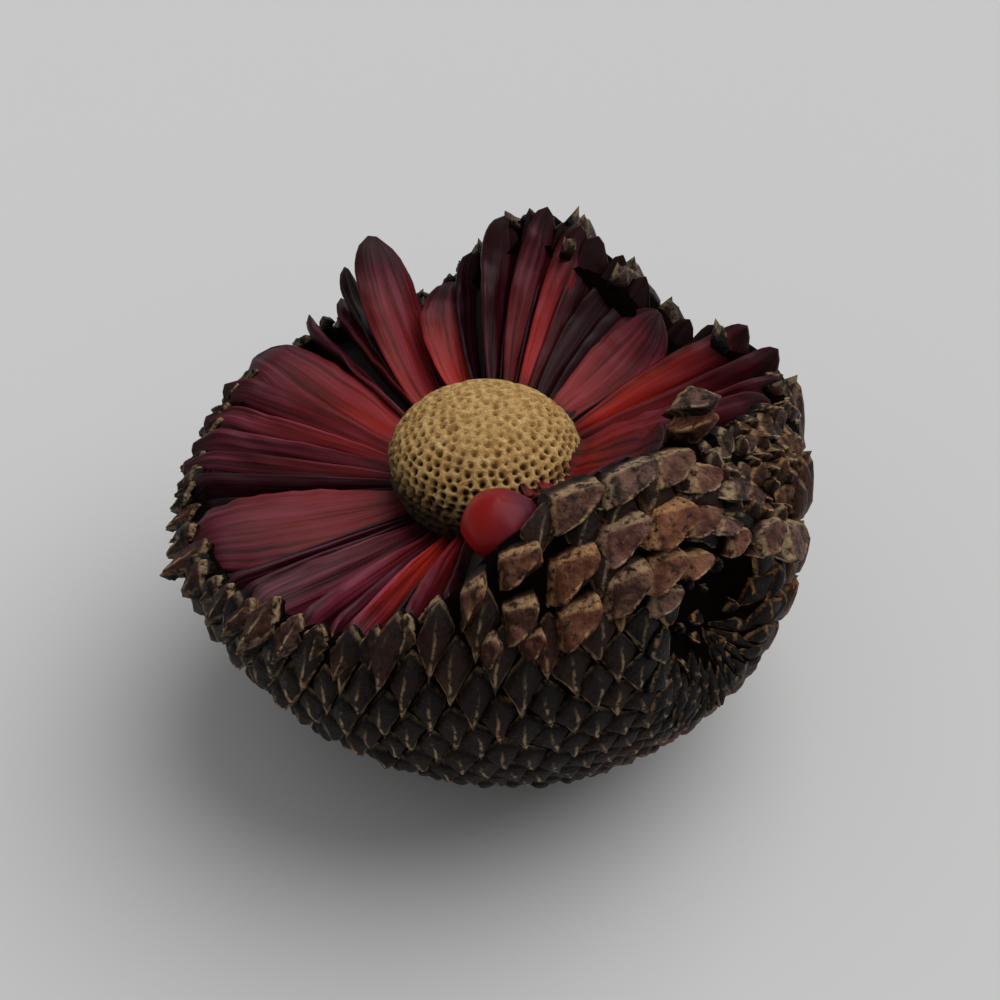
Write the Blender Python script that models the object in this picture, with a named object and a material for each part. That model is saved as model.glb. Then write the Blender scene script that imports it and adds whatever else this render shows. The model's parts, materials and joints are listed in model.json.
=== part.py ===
"""A partly broken-up araucaria cone: pitted axis, maroon inner wedges and brown rhombic scale tips.

The cone lies on its side, so its scales wind round a nearly level pole, while the break has opened its
upper side into a bowl. Lengths are in millimetres until a mesh is made, and the centre of the body is the
origin until the last step.
"""
import math
import random

import bmesh
import bpy
import numpy as np
from mathutils import Vector

BODY = np.array([78.0, 78.0, 58.0])  # half sizes of the body at the bottom of its grooves
AXIS_CENTRE = np.array([0.0, 0.0, 21.0])  # middle of the pitted axis, where all wedges point
AXIS_RADIUS = 24.4
AXIS_TOP = 15.5
AXIS_BOTTOM = 20.0
AXIS_PITS = 360
PIT_DEPTH = 1.5

POLE_TO = (-38.0, -14.3)  # azimuth and rise of the cone's end that its scales wind round
SCALES_ROUND = 19
RINGS = 40
FIRST_RING = 5.0  # degrees from the pole
RING_STEP = 3.88
LATTICE_TWIST = 0.068  # radians a ring
CROWDING = 0.36  # how unevenly the scales share a ring
CROWDED_FROM = -1.1  # radians
SPREAD = 27.0  # degrees by which the upper scales lie further from the pole
SCALE_HEIGHT = 3.6
CRATER_TO = (-42.0, -7.5)  # azimuth and rise of the hollow that the smallest scales have left
CRATER_DEPTH = 11.0
CRATER_EDGE = 16.0  # degrees from its middle

WALL = 5.5  # how far the brown tips reach inwards
LINING = 9.0  # thickness of the maroon layer under its blades
BLADE_RISE = 5.5  # how far the blades stand out of that layer
GAP = 0.3
FLAT_DEPTH = 1.2  # the resting spot is this far above the lowest groove

# Rim of the bowl: direction round the axis, and its rise seen from the axis, in degrees.
RIM = [
    (-180, -9), (-165, -8), (-145, -5), (-130, -1), (-115, 1), (-104, 6), (-95, 14), (-85, 23),
    (-76, 27), (-54, 31), (-36, 29), (-20, 22), (-5, 16), (8, 9), (18, 9), (28, 11), (38, 6), (45, 10),
    (52, 18), (64, 23), (78, 27), (88, 25), (95, 12), (104, 0), (122, -1), (135, -5), (150, -4),
    (165, -9),
]

# Swelling of the upper wall beyond the round body, by direction: it spreads at the back lobe and at the
# right, and falls back where pieces of it have broken off. The lower left side is slimmer than the round body.
SWELL = [
    (-180, 0.0), (-25, 0.0), (-5, 0.03), (4, 0.09), (10, 0.14), (16, 0.16), (22, 0.16), (28, 0.13),
    (34, 0.0), (40, -0.04), (46, 0.0), (52, 0.06), (58, 0.105), (64, 0.155), (70, 0.19), (76, 0.28),
    (82, 0.235), (88, 0.155), (94, 0.02), (100, -0.05), (106, -0.04), (112, 0.0), (125, 0.03),
    (145, 0.035), (165, 0.0),
]
SLIM = (-125, 60, 0.08)  # middle and width of the slimmer side in degrees, and by which share it is slimmer

# Height of the bowl where it meets the axis, over the axis centre: it sinks round the left and the front
# of the dome.
BOWL_ROOT = [
    (-180, -10), (-150, -10), (-120, -9), (-105, -6), (-95, 0), (-85, 4), (-76, 6.5), (-54, 7.4),
    (-36, 7), (-20, 5), (-5, 3), (10, 0), (38, -1), (60, 3), (78, 5), (92, 2), (100, -3), (115, -6),
    (135, -9), (160, -10),
]

# Groups of blades: first and last direction, number, lean (0 flat, 90 upright), half width, thickness,
# extra rise.
BLADE_GROUPS = [
    (-177, -171, 2, 55, 6.5, 3.2, 0.0), (-164, -164, 1, 32, 11.0, 3.4, 1.0),
    (-152, -138, 4, 62, 6.5, 3.0, 0.0), (-133, -98, 8, 74, 7.5, 3.2, 0.5),
    (-78, -18, 8, 66, 10.0, 5.0, 0.0), (-8, 10, 3, 60, 7.0, 4.0, -1.0), (19, 30, 2, 48, 9.5, 4.2, 3.0),
    (38, 46, 2, 70, 8.0, 3.2, -1.0), (54, 54, 1, 50, 13.0, 3.4, 2.0), (61, 93, 8, 78, 9.0, 3.2, 1.5),
    (103, 103, 1, 24, 10.0, 3.2, 1.0), (125, 142, 4, 66, 7.0, 3.2, 1.0),
    (153, 153, 1, 30, 12.0, 3.4, 1.5), (163, 178, 4, 60, 6.5, 3.0, 0.5),
]
FINGER_AZ = 115.0  # one wedge has been pulled up out of the bowl
FINGER_LIFT = 27.0
PLUMP_AZ = -85.0  # and one is plump with its seed
PLUMP_AT = (42.0, 36.0)  # its distance from the axis and its height over the body's middle
PLUMP_SIZE = (10.5, 9.5, 8.8)  # half sizes: outwards, across, up
# Large tips on the near rim: direction and size.
WALL_TIPS = [(-70, 15.0), (-50, 14.5), (-33, 13.0), (-19, 11.0), (-6, 10.0)]

DRAW = random.Random(5)


def clear_scene():
    for obj in list(bpy.data.objects):
        bpy.data.objects.remove(obj, do_unlink=True)


def unit(vector):
    return vector / np.linalg.norm(vector)


def smooth(value, low, high):
    """0 below low, 1 above high and an even ramp between."""
    part = np.clip((value - low) / (high - low), 0.0, 1.0)
    return part * part * (3 - 2 * part)


def direction(azimuth, elevation):
    """Unit vector from the axis centre, for angles in degrees."""
    az = math.radians(azimuth)
    el = math.radians(elevation)
    return np.array([math.cos(el) * math.cos(az), math.cos(el) * math.sin(az), math.sin(el)])


def around(stations, azimuth):
    """Value of a table in any direction round the axis, taken evenly between its stations."""
    to = [a for a, value in stations]
    return float(np.interp(azimuth, to, [value for a, value in stations], period=360))


def rim_rise(azimuth):
    """Rise of the rim in degrees, seen from the axis centre."""
    return around(RIM, azimuth)


def swell(azimuth, elevation):
    """Share by which the body stands out of the round form, or back from it."""
    middle, width, share = SLIM
    away = (azimuth - middle + 180) % 360 - 180
    slim = share * math.exp(-((away / width) ** 2)) * float(smooth(-elevation, -5, 27))
    return (1 + around(SWELL, azimuth) * float(smooth(elevation, -22, 9))) * (1 - slim)


def body_reach(ray):
    """Distance from the axis centre to the body's groove level along a unit vector."""
    a = AXIS_CENTRE / BODY
    b = ray / BODY
    half = a @ b
    reach = (-half + math.sqrt(half * half - (b @ b) * (a @ a - 1))) / (b @ b)
    azimuth = math.degrees(math.atan2(ray[1], ray[0]))
    return reach * swell(azimuth, math.degrees(math.asin(np.clip(ray[2], -1, 1))))


def new_object(name, points, faces):
    """Closed object from points in millimetres, with its faces turned outwards."""
    mesh = bpy.data.meshes.new(name)
    mesh.from_pydata([tuple(np.asarray(p) * 0.001) for p in points], [], faces)
    obj = bpy.data.objects.new(name, mesh)
    bpy.context.scene.collection.objects.link(obj)
    bm = bmesh.new()
    bm.from_mesh(mesh)
    bmesh.ops.recalc_face_normals(bm, faces=bm.faces)
    if bm.calc_volume(signed=True) < 0:
        bmesh.ops.reverse_faces(bm, faces=bm.faces)
    bmesh.ops.triangulate(bm, faces=bm.faces)
    bm.to_mesh(mesh)
    bm.free()
    return obj


def combine(target, others, operation):
    """Joins the others to the target, or cuts them out of it, in one step, and removes them."""
    group = bpy.data.collections.new("group")
    bpy.context.scene.collection.children.link(group)
    for other in others:
        group.objects.link(other)
    modifier = target.modifiers.new("combine", "BOOLEAN")
    modifier.operation = operation
    modifier.operand_type = "COLLECTION"
    modifier.collection = group
    modifier.solver = "MANIFOLD"
    depsgraph = bpy.context.evaluated_depsgraph_get()
    joined = bpy.data.meshes.new_from_object(target.evaluated_get(depsgraph))
    target.modifiers.remove(modifier)
    target.data = joined
    for other in others:
        bpy.data.objects.remove(other, do_unlink=True)
    bpy.data.collections.remove(group)


def keep_largest(obj):
    """Welds what a cut has left closer than a hair and keeps the one large closed body."""
    bm = bmesh.new()
    bm.from_mesh(obj.data)
    bmesh.ops.remove_doubles(bm, verts=bm.verts, dist=0.000002)
    bmesh.ops.dissolve_degenerate(bm, edges=bm.edges, dist=0.000001)
    bmesh.ops.triangulate(bm, faces=bm.faces)
    seen = set()
    bodies = []
    for face in bm.faces:
        if face in seen:
            continue
        body = [face]
        seen.add(face)
        for member in body:
            for edge in member.edges:
                for linked in edge.link_faces:
                    if linked not in seen:
                        seen.add(linked)
                        body.append(linked)
        bodies.append(body)
    bodies.sort(key=len)
    scraps = [face for body in bodies[:-1] for face in body]
    bmesh.ops.delete(bm, geom=scraps, context="FACES")
    bm.to_mesh(obj.data)
    bm.free()


def finish(obj, name, color, roughness):
    material = bpy.data.materials.new(name)
    material.use_nodes = True
    shader = material.node_tree.nodes["Principled BSDF"]
    shader.inputs["Base Color"].default_value = (*color, 1.0)
    shader.inputs["Roughness"].default_value = roughness
    material.diffuse_color = (*color, 1.0)
    obj.data.materials.clear()
    obj.data.materials.append(material)
    obj.name = name
    obj.data.name = name


def make_core():
    """The axis: a dome whose surface is a honeycomb of pits, set evenly by the golden angle."""
    golden = math.pi * (3 - math.sqrt(5))
    dots = []
    for i in range(AXIS_PITS):
        height = 1 - 2 * (i + 0.5) / AXIS_PITS
        ring = math.sqrt(1 - height * height)
        dots.append((ring * math.cos(golden * i), ring * math.sin(golden * i), height))
    hull = bmesh.new()
    for dot in dots:
        hull.verts.new(dot)
    bmesh.ops.convex_hull(hull, input=hull.verts)
    hull.verts.index_update()
    hull.faces.index_update()

    def on_dome(unit_point, depth):
        x, y, z = unit_point
        tall = AXIS_TOP if z > 0 else AXIS_BOTTOM
        shape = np.array([AXIS_RADIUS * x, AXIS_RADIUS * y, tall * z])
        return AXIS_CENTRE + shape * (1 - depth / np.linalg.norm(shape))

    points = [on_dome(face.calc_center_median().normalized(), 0.0) for face in hull.faces]
    faces = []
    for vert in hull.verts:
        ring = sorted(
            vert.link_faces,
            key=lambda face: ring_angle(vert.co.normalized(), face.calc_center_median() - vert.co),
        )
        pit = len(points)
        points.append(on_dome(vert.co.normalized(), PIT_DEPTH))
        for face, following in zip(ring, ring[1:] + ring[:1]):
            faces.append((pit, face.index, following.index))
    hull.free()
    return new_object("core", points, faces)


def ring_angle(normal, offset):
    """Angle of an offset round a normal."""
    side = normal.cross(Vector((0.31, 0.53, 0.79))).normalized()
    return math.atan2(offset.dot(normal.cross(side)), offset.dot(side))


def ring_angle_from_pole(ring):
    """Degrees from the pole to a ring of scales. The rings lie further apart on the far side."""
    return FIRST_RING + RING_STEP * ring + 0.05 * max(0.0, ring - 22) ** 2


def lattice_ray(ring, column):
    """Unit vector to a lattice place. The scales on the upper side of a ring are larger than the others."""
    pole = direction(*POLE_TO)
    side = unit(np.cross(pole, np.array([0.0, 0.0, 1.0])))
    over = unit(np.cross(side, pole))
    turn = math.pi * column / SCALES_ROUND + LATTICE_TWIST * ring
    turn += CROWDING * math.sin(turn - CROWDED_FROM)
    away = ring_angle_from_pole(ring)
    away += SPREAD * ((1 + math.cos(turn)) / 2) ** 2 * math.sin(math.radians(away))
    away = math.radians(away)
    return math.cos(away) * pole + math.sin(away) * (math.cos(turn) * over + math.sin(turn) * side)


def on_body(ray, height):
    """Point on the body over its groove level. The hollow near the pole is sunk."""
    away = math.degrees(math.acos(float(np.clip(ray @ direction(*CRATER_TO), -1, 1))))
    sunk = CRATER_DEPTH * float(1 - smooth(away, CRATER_EDGE * 0.5, CRATER_EDGE))
    return AXIS_CENTRE + ray * (body_reach(ray) + height - sunk)


def make_scale_body():
    """Closed body, covered all round with rhombic scales: groove, steep sides, a face and a keel on each."""
    columns = 2 * SCALES_ROUND
    points = []
    faces = []
    grid = {}
    for ring in range(RINGS):
        for column in range(columns):
            if (ring + column) % 2:
                grid[ring, column] = len(points)
                points.append(on_body(lattice_ray(ring, column), DRAW.uniform(-0.4, 0.2)))
    first = len(points)
    points.append(on_body(direction(*POLE_TO), 0.0))
    last = len(points)
    points.append(on_body(-direction(*POLE_TO), 0.0))
    for ring in range(RINGS):
        for column in range(columns):
            if (ring + column) % 2 == 0:
                left = grid[ring, (column - 1) % columns]
                right = grid[ring, (column + 1) % columns]
                below = grid.get((ring - 1, column), first)
                above = grid.get((ring + 1, column), last)
                size = math.sin(math.radians(ring_angle_from_pole(ring)))
                tall = SCALE_HEIGHT * min(1.0, 0.35 + size) * DRAW.uniform(0.85, 1.15)
                middle = lattice_ray(ring, column)
                inner = []
                for shift in ((-1, 0), (0, 1), (1, 0), (0, -1)):
                    corner = lattice_ray(ring + shift[1] * 0.66, column + shift[0] * 0.66)
                    inner.append(len(points))
                    points.append(on_body(unit(corner), tall * (0.8 if shift[0] <= 0 else 0.62)))
                top = len(points)
                points.append(on_body(lattice_ray(ring, column - 0.12), tall))
                outer = [left, above, right, below]
                for i in range(4):
                    j = (i + 1) % 4
                    if outer[i] != outer[j]:
                        faces.append((outer[i], outer[j], inner[j], inner[i]))
                    faces.append((inner[i], inner[j], top))
    return new_object("outer_scales", points, faces)


def bowl_line(azimuth, radius):
    """Height of the bowl's surface at a level distance from the axis: it sinks towards the axis."""
    rise = math.tan(math.radians(rim_rise(azimuth)))
    root = around(BOWL_ROOT, azimuth)
    reach = rim_radius(azimuth)
    along = np.clip((radius - AXIS_RADIUS) / (reach - AXIS_RADIUS), 0.0, 1.3)
    return AXIS_CENTRE[2] + root + (reach * rise - root) * along


def rim_radius(azimuth):
    """Level distance from the axis to the groove level of the body at the rim."""
    ray = direction(azimuth, rim_rise(azimuth))
    return body_reach(ray) * math.hypot(ray[0], ray[1])


def polar_solid(name, stations, top, bottom, count=60):
    """Closed solid between two surfaces over one round plan. A station gives each direction its radius."""
    points = []
    for level in (top, bottom):
        points.append(np.array([0.0, 0.0, level(0.0, 0.0, 0)]))
        for index, station in enumerate(stations):
            for i in range(count):
                azimuth = 360 * i / count - 180
                radius = station(azimuth)
                x = radius * math.cos(math.radians(azimuth))
                y = radius * math.sin(math.radians(azimuth))
                points.append(np.array([x, y, level(azimuth, radius, index)]))
    size = 1 + len(stations) * count
    faces = []
    for side in (0, 1):
        start = side * size
        for i in range(count):
            j = (i + 1) % count
            pair = (start + 1 + i, start + 1 + j)
            faces.append((start, *pair) if side == 0 else (start, pair[1], pair[0]))
            for ring in range(len(stations) - 1):
                a = start + 1 + ring * count
                b = a + count
                quad = (a + i, b + i, b + j, a + j)
                faces.append(quad if side == 0 else quad[::-1])
    last = 1 + (len(stations) - 1) * count
    for i in range(count):
        j = (i + 1) % count
        faces.append((last + i, size + last + i, size + last + j, last + j))
    return new_object(name, points, faces)


PLAN = [
    lambda az: 8.0, lambda az: 15.5, lambda az: 20.5, lambda az: AXIS_RADIUS - 0.6,
    lambda az: AXIS_RADIUS + 0.8,
    lambda az: (AXIS_RADIUS + rim_radius(az) - WALL) / 2, lambda az: rim_radius(az) - WALL,
]


def floor_height(azimuth, radius, index):
    """Underside of the maroon layer, station by station of its plan."""
    if index <= 4:
        return AXIS_CENTRE[2] - AXIS_BOTTOM - 5
    return bowl_line(azimuth, radius) - BLADE_RISE - LINING


def make_bowl_cutter():
    """What the break has taken out of the brown body, with the room for the maroon layer."""
    stations = PLAN + [lambda az: rim_radius(az) - WALL + 0.5, lambda az: rim_radius(az) + 25]

    def bottom(azimuth, radius, index):
        if index >= len(PLAN):
            return bowl_line(azimuth, min(radius, rim_radius(azimuth))) - 2
        return floor_height(azimuth, radius, index)

    return polar_solid("cutter", stations, lambda az, radius, index: 120.0, bottom)


def make_room(gap):
    """The room in the bowl, less a gap: the maroon part fills it, and the brown tips stay out of it."""
    stations = PLAN[:-1] + [lambda az: rim_radius(az) - WALL - gap]

    def bottom(azimuth, radius, index):
        return floor_height(azimuth, radius, index) + gap

    return polar_solid("room", stations, lambda az, radius, index: 110.0, bottom)


def make_lining():
    """The maroon layer that carries the blades, with a seat for the axis."""
    def seat(radius):
        inside = max(0.0, 1 - (radius / (AXIS_RADIUS + GAP + 0.4)) ** 2)
        return AXIS_CENTRE[2] - (AXIS_BOTTOM + GAP + 0.4) * math.sqrt(inside)

    def top(azimuth, radius, index):
        if index < 4:
            return min(seat(radius), bowl_line(azimuth, AXIS_RADIUS) - BLADE_RISE)
        return bowl_line(azimuth, radius) - BLADE_RISE

    def bottom(azimuth, radius, index):
        return floor_height(azimuth, radius, index) - 3

    return polar_solid("inner_scales", PLAN, top, bottom)


def blade(azimuth, lean, half_width, thickness, rise, twist=0.0, lift=0.0, sink=0.0):
    """One wedge blade: narrow and thin at the axis, broad and thick outside, a flat six-sided lens across."""
    outer = rim_radius(azimuth) - WALL - GAP - DRAW.uniform(0.6, 1.6)
    inner = AXIS_RADIUS + 0.9
    wave = DRAW.uniform(-2.2, 2.2)
    phase = DRAW.uniform(0, 6.28)
    points = []
    steps = 5
    for step in range(steps):
        along = step / (steps - 1)
        radius = inner + (outer - inner) * along
        az = azimuth + wave * math.sin(phase + 3.5 * along) * along
        tangent = np.array([-math.sin(math.radians(az)), math.cos(math.radians(az)), 0.0])
        radial = np.array([math.cos(math.radians(az)), math.sin(math.radians(az)), 0.0])
        side = 1.0 if direction(*POLE_TO) @ tangent > 0 else -1.0
        tilt = math.radians(lean + twist * along)
        across = math.cos(tilt) * tangent - side * math.sin(tilt) * np.array([0, 0, 1.0])
        face = np.cross(across, radial)
        if face[2] < 0:
            face = -face
        width = half_width * (0.38 + 0.62 * along ** 0.8)
        thick = thickness * (0.4 + 0.6 * along) / 2
        if step == steps - 1:
            width *= 0.72
            thick *= 0.6
        middle = radial * radius
        middle[2] = bowl_line(az, radius) + rise * along + lift * along ** 1.6
        middle[2] = middle[2] - width * math.sin(tilt) * 0.92 - sink
        for u, t in ((-1, 0), (-0.45, 1), (0.45, 1), (1, 0), (0.45, -1), (-0.45, -1)):
            points.append(middle + across * width * u + face * thick * t)
    faces = [(5, 4, 3, 2, 1, 0), tuple(range(6 * steps - 6, 6 * steps))]
    for step in range(steps - 1):
        for i in range(6):
            j = (i + 1) % 6
            faces.append((6 * step + i, 6 * step + j, 6 * step + 6 + j, 6 * step + 6 + i))
    return new_object("blade", points, faces)


def make_blades():
    """All blades round the axis, group by group, with small seeded differences."""
    blades = []
    for first, last, count, lean, half_width, thickness, rise in BLADE_GROUPS:
        for i in range(count):
            azimuth = first + (last - first) * i / max(1, count - 1)
            blades.append(blade(
                azimuth + DRAW.uniform(-0.6, 0.6), lean + DRAW.uniform(-6, 6),
                half_width * DRAW.uniform(0.92, 1.08),
                thickness * DRAW.uniform(0.9, 1.1), rise + DRAW.uniform(-1.0, 1.0),
            ))
    blades.append(blade(FINGER_AZ, 12, 5.2, 5.0, 0.0, twist=25, lift=FINGER_LIFT + 3, sink=3.5))
    blades.append(blade(PLUMP_AZ, 20, 7.0, 6.0, 0.0))
    blades.append(plump_wedge())
    return blades


def plump_wedge():
    """The rounded end of the wedge that is full with its seed."""
    radial = direction(PLUMP_AZ, 0)
    tangent = np.array([-radial[1], radial[0], 0.0])
    middle = radial * PLUMP_AT[0] + np.array([0.0, 0.0, PLUMP_AT[1]])
    bm = bmesh.new()
    bmesh.ops.create_icosphere(bm, subdivisions=2, radius=1.0)
    points = []
    for vertex in bm.verts:
        x, y, z = vertex.co
        aside = tangent * y * PLUMP_SIZE[1]
        points.append(middle + radial * x * PLUMP_SIZE[0] + aside + np.array([0, 0, z * PLUMP_SIZE[2]]))
    faces = [[vertex.index for vertex in face.verts] for face in bm.faces]
    bm.free()
    return new_object("plump", points, faces)


def rim_tip(azimuth, size, drop):
    """One outer end of a wedge on the rim: a rhombic block with a keel and a point."""
    radial = np.array([math.cos(math.radians(azimuth)), math.sin(math.radians(azimuth)), 0.0])
    outer = rim_radius(azimuth)
    ray = direction(azimuth, rim_rise(azimuth))
    across = unit(np.cross(direction(*POLE_TO), ray))
    if across[2] < 0:
        across = -across
    over = np.cross(ray, across)
    inner = outer - WALL + 2.2
    points = []
    for radius, grow in ((inner, 0.8), (outer + 0.8, 1.0), (outer + 3.2, 0.62)):
        middle = radial * radius
        middle[2] = bowl_line(azimuth, min(radius, outer)) - drop
        for u, v in ((-0.5, -0.28), (-0.1, -0.42), (0.5, 0.28), (0.1, 0.42)):
            points.append(middle + (across * u + over * v) * size * 1.45 * grow)
    faces = [(3, 2, 1, 0), (8, 9, 10, 11)]
    for step in (0, 4):
        for i in range(4):
            j = (i + 1) % 4
            faces.append((step + i, step + j, step + 4 + j, step + 4 + i))
    return new_object("tip", points, faces)


def make_rim_tips():
    tips = [rim_tip(azimuth, size, size * 0.35) for azimuth, size in WALL_TIPS]
    azimuth = 8.0
    while azimuth < 275:
        size = DRAW.uniform(9.0, 11.5)
        tips.append(rim_tip(azimuth, size, size * DRAW.uniform(0.55, 0.75)))
        azimuth += math.degrees(size * 1.05 / rim_radius(azimuth))
    return tips


def make_flat_cutter():
    """Levels the small spot on which the cone rests."""
    level = -BODY[2] + FLAT_DEPTH
    plan = ((-90, -90), (90, -90), (90, 90), (-90, 90))
    corners = [(x, y, z) for z in (level - 30, level) for x, y in plan]
    faces = [(3, 2, 1, 0), (4, 5, 6, 7), (0, 1, 5, 4), (1, 2, 6, 5), (2, 3, 7, 6), (3, 0, 4, 7)]
    return new_object("flat", corners, faces)


def settle(objects):
    """Moves the whole cone so that it stands on Z = 0 over the middle of its plan."""
    corners = np.array([tuple(vertex.co) for obj in objects for vertex in obj.data.vertices])
    low = corners.min(axis=0)
    high = corners.max(axis=0)
    shift = Vector((-(low[0] + high[0]) / 2, -(low[1] + high[1]) / 2, -low[2]))
    for obj in objects:
        for vertex in obj.data.vertices:
            vertex.co += shift


clear_scene()
core = make_core()
outer_scales = make_scale_body()
combine(outer_scales, [make_bowl_cutter(), make_flat_cutter()], "DIFFERENCE")
combine(outer_scales, make_rim_tips(), "UNION")
combine(outer_scales, [make_room(GAP)], "DIFFERENCE")
keep_largest(outer_scales)
inner_scales = make_lining()
combine(inner_scales, make_blades(), "UNION")
combine(inner_scales, [make_room(2 * GAP)], "INTERSECT")
keep_largest(inner_scales)
settle([core, outer_scales, inner_scales])
finish(core, "core", (0.42, 0.26, 0.10), 0.8)
finish(outer_scales, "outer_scales", (0.10, 0.06, 0.045), 0.7)
finish(inner_scales, "inner_scales", (0.16, 0.012, 0.02), 0.5)
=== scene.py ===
import json
import math

import bmesh
import bpy
import numpy as np
from mathutils import Matrix, Vector

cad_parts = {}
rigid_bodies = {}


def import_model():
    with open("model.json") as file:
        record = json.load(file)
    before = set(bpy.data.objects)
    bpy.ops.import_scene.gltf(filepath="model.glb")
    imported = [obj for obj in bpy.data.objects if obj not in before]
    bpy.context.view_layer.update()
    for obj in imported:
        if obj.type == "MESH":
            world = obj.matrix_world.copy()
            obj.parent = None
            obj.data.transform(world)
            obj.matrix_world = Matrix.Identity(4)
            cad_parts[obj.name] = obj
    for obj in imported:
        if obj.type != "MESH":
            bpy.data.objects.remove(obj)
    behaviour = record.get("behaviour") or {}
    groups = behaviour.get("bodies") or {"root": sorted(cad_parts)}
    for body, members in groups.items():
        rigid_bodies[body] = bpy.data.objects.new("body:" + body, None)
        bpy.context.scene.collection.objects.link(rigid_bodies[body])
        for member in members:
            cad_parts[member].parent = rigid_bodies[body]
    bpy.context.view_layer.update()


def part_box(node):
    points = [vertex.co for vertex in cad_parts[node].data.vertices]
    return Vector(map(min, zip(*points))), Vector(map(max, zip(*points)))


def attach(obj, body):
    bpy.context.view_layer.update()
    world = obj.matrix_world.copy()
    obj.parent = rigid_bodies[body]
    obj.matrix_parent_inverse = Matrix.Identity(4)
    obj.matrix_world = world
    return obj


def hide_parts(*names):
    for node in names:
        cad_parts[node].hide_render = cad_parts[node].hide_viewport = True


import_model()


# The axis of the cone: the woody spindle that carried the scales. Every lost scale has left a pit, so the dome
# is a honeycomb of thin tan ridges round dark pits, worn flatter on top. The pits stand in rows, 2.9 mm apart.
core_low, core_high = (np.array(corner) * 1000 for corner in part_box("core"))
AXIS_RADIUS = (core_high[0] - core_low[0]) / 2
AXIS_TOP = 15.5
AXIS_BOTTOM = 20.0
AXIS_AT = (core_low + core_high) / 2
AXIS_AT[2] = core_high[2] - AXIS_TOP
PIT_SPACING = 2.9
rng = np.random.default_rng(21)


def metres(points):
    """Places given from the middle of the axis in millimetres, as places in the scene."""
    return (np.asarray(points) + AXIS_AT) * 0.001


def colour(hex_value):
    """Linear colour with alpha from an sRGB hex value."""
    parts = [int(hex_value[i:i + 2], 16) / 255 for i in (0, 2, 4)]
    return tuple(p / 12.92 if p <= 0.04045 else ((p + 0.055) / 1.055) ** 2.4 for p in parts) + (1.0,)


def node(tree, kind, inputs=(), **settings):
    """Adds a node. Inputs give a socket, by name or number, a value or the output to link to it."""
    made = tree.nodes.new(kind)
    for name, value in settings.items():
        setattr(made, name, value)
    for key, value in dict(inputs).items():
        if isinstance(value, bpy.types.NodeSocket):
            tree.links.new(value, made.inputs[key])
        else:
            made.inputs[key].default_value = value
    return made


def noise(tree, place, scale, detail, roughness=0.5):
    """Noise at a place. A scale of 1 gives blotches about one unit across."""
    return node(tree, "ShaderNodeTexNoise", {
        "Vector": place, "Scale": scale, "Detail": detail, "Roughness": roughness,
    }).outputs["Fac"]


def maths(tree, operation, *values):
    """One step of arithmetic on one to three values."""
    return node(tree, "ShaderNodeMath", dict(enumerate(values)), operation=operation).outputs[0]


def new_material(name):
    """An empty material with its shader and its object coordinates in millimetres."""
    material = bpy.data.materials.new(name)
    material.use_nodes = True
    tree = material.node_tree
    shader = tree.nodes["Principled BSDF"]
    place = node(tree, "ShaderNodeTexCoord").outputs["Object"]
    millimetres = node(tree, "ShaderNodeVectorMath", {0: place, 1: (1000, 1000, 1000)}, operation="MULTIPLY")
    return material, tree, shader, millimetres.outputs[0]


def new_tree(name, inputs):
    """A Geometry Nodes tree with its named inputs and the group nodes at both ends."""
    tree = bpy.data.node_groups.new(name, "GeometryNodeTree")
    tree.interface.new_socket("Geometry", in_out="INPUT", socket_type="NodeSocketGeometry")
    for title, value in inputs.items():
        socket = tree.interface.new_socket(title, in_out="INPUT", socket_type="NodeSocketFloat")
        socket.default_value = value
    tree.interface.new_socket("Geometry", in_out="OUTPUT", socket_type="NodeSocketGeometry")
    return tree, tree.nodes.new("NodeGroupInput"), tree.nodes.new("NodeGroupOutput")


def new_mesh(name, points, faces=(), edges=()):
    """An object with a mesh of its own. Its places are given from the middle of the axis."""
    mesh = bpy.data.meshes.new(name)
    faces = [tuple(int(i) for i in face) for face in faces]
    mesh.from_pydata([tuple(p) for p in metres(points)], list(edges), faces)
    obj = bpy.data.objects.new(name, mesh)
    bpy.context.scene.collection.objects.link(obj)
    return obj


def store(obj, name, values):
    """Keeps a number or a vector for each point of a mesh."""
    values = np.asarray(values, dtype=float)
    kind = "FLOAT_VECTOR" if values.ndim == 2 else "FLOAT"
    layer = obj.data.attributes.new(name, kind, "POINT")
    layer.data.foreach_set("vector" if values.ndim == 2 else "value", values.ravel())


def grow(obj, tree, values=()):
    """Runs a tree on an object, with other values for some inputs, and keeps the result as a plain mesh."""
    modifier = obj.modifiers.new(tree.name, "NODES")
    modifier.node_group = tree
    for item in tree.interface.items_tree:
        if item.in_out == "INPUT" and item.socket_type == "NodeSocketFloat":
            modifier[item.identifier] = dict(values).get(item.name, item.default_value)
    depsgraph = bpy.context.evaluated_depsgraph_get()
    result = obj.evaluated_get(depsgraph)
    mesh = bpy.data.meshes.new_from_object(result, preserve_all_data_layers=True, depsgraph=depsgraph)
    obj.modifiers.remove(modifier)
    obj.data = mesh
    for polygon in mesh.polygons:
        polygon.use_smooth = True


def keep(tree, geometry, name, value, domain="POINT"):
    """Stores a number on the points, or on the instances, of a geometry."""
    return node(tree, "GeometryNodeStoreNamedAttribute", {
        "Geometry": geometry, "Name": name, "Value": value,
    }, data_type="FLOAT", domain=domain).outputs["Geometry"]


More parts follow.
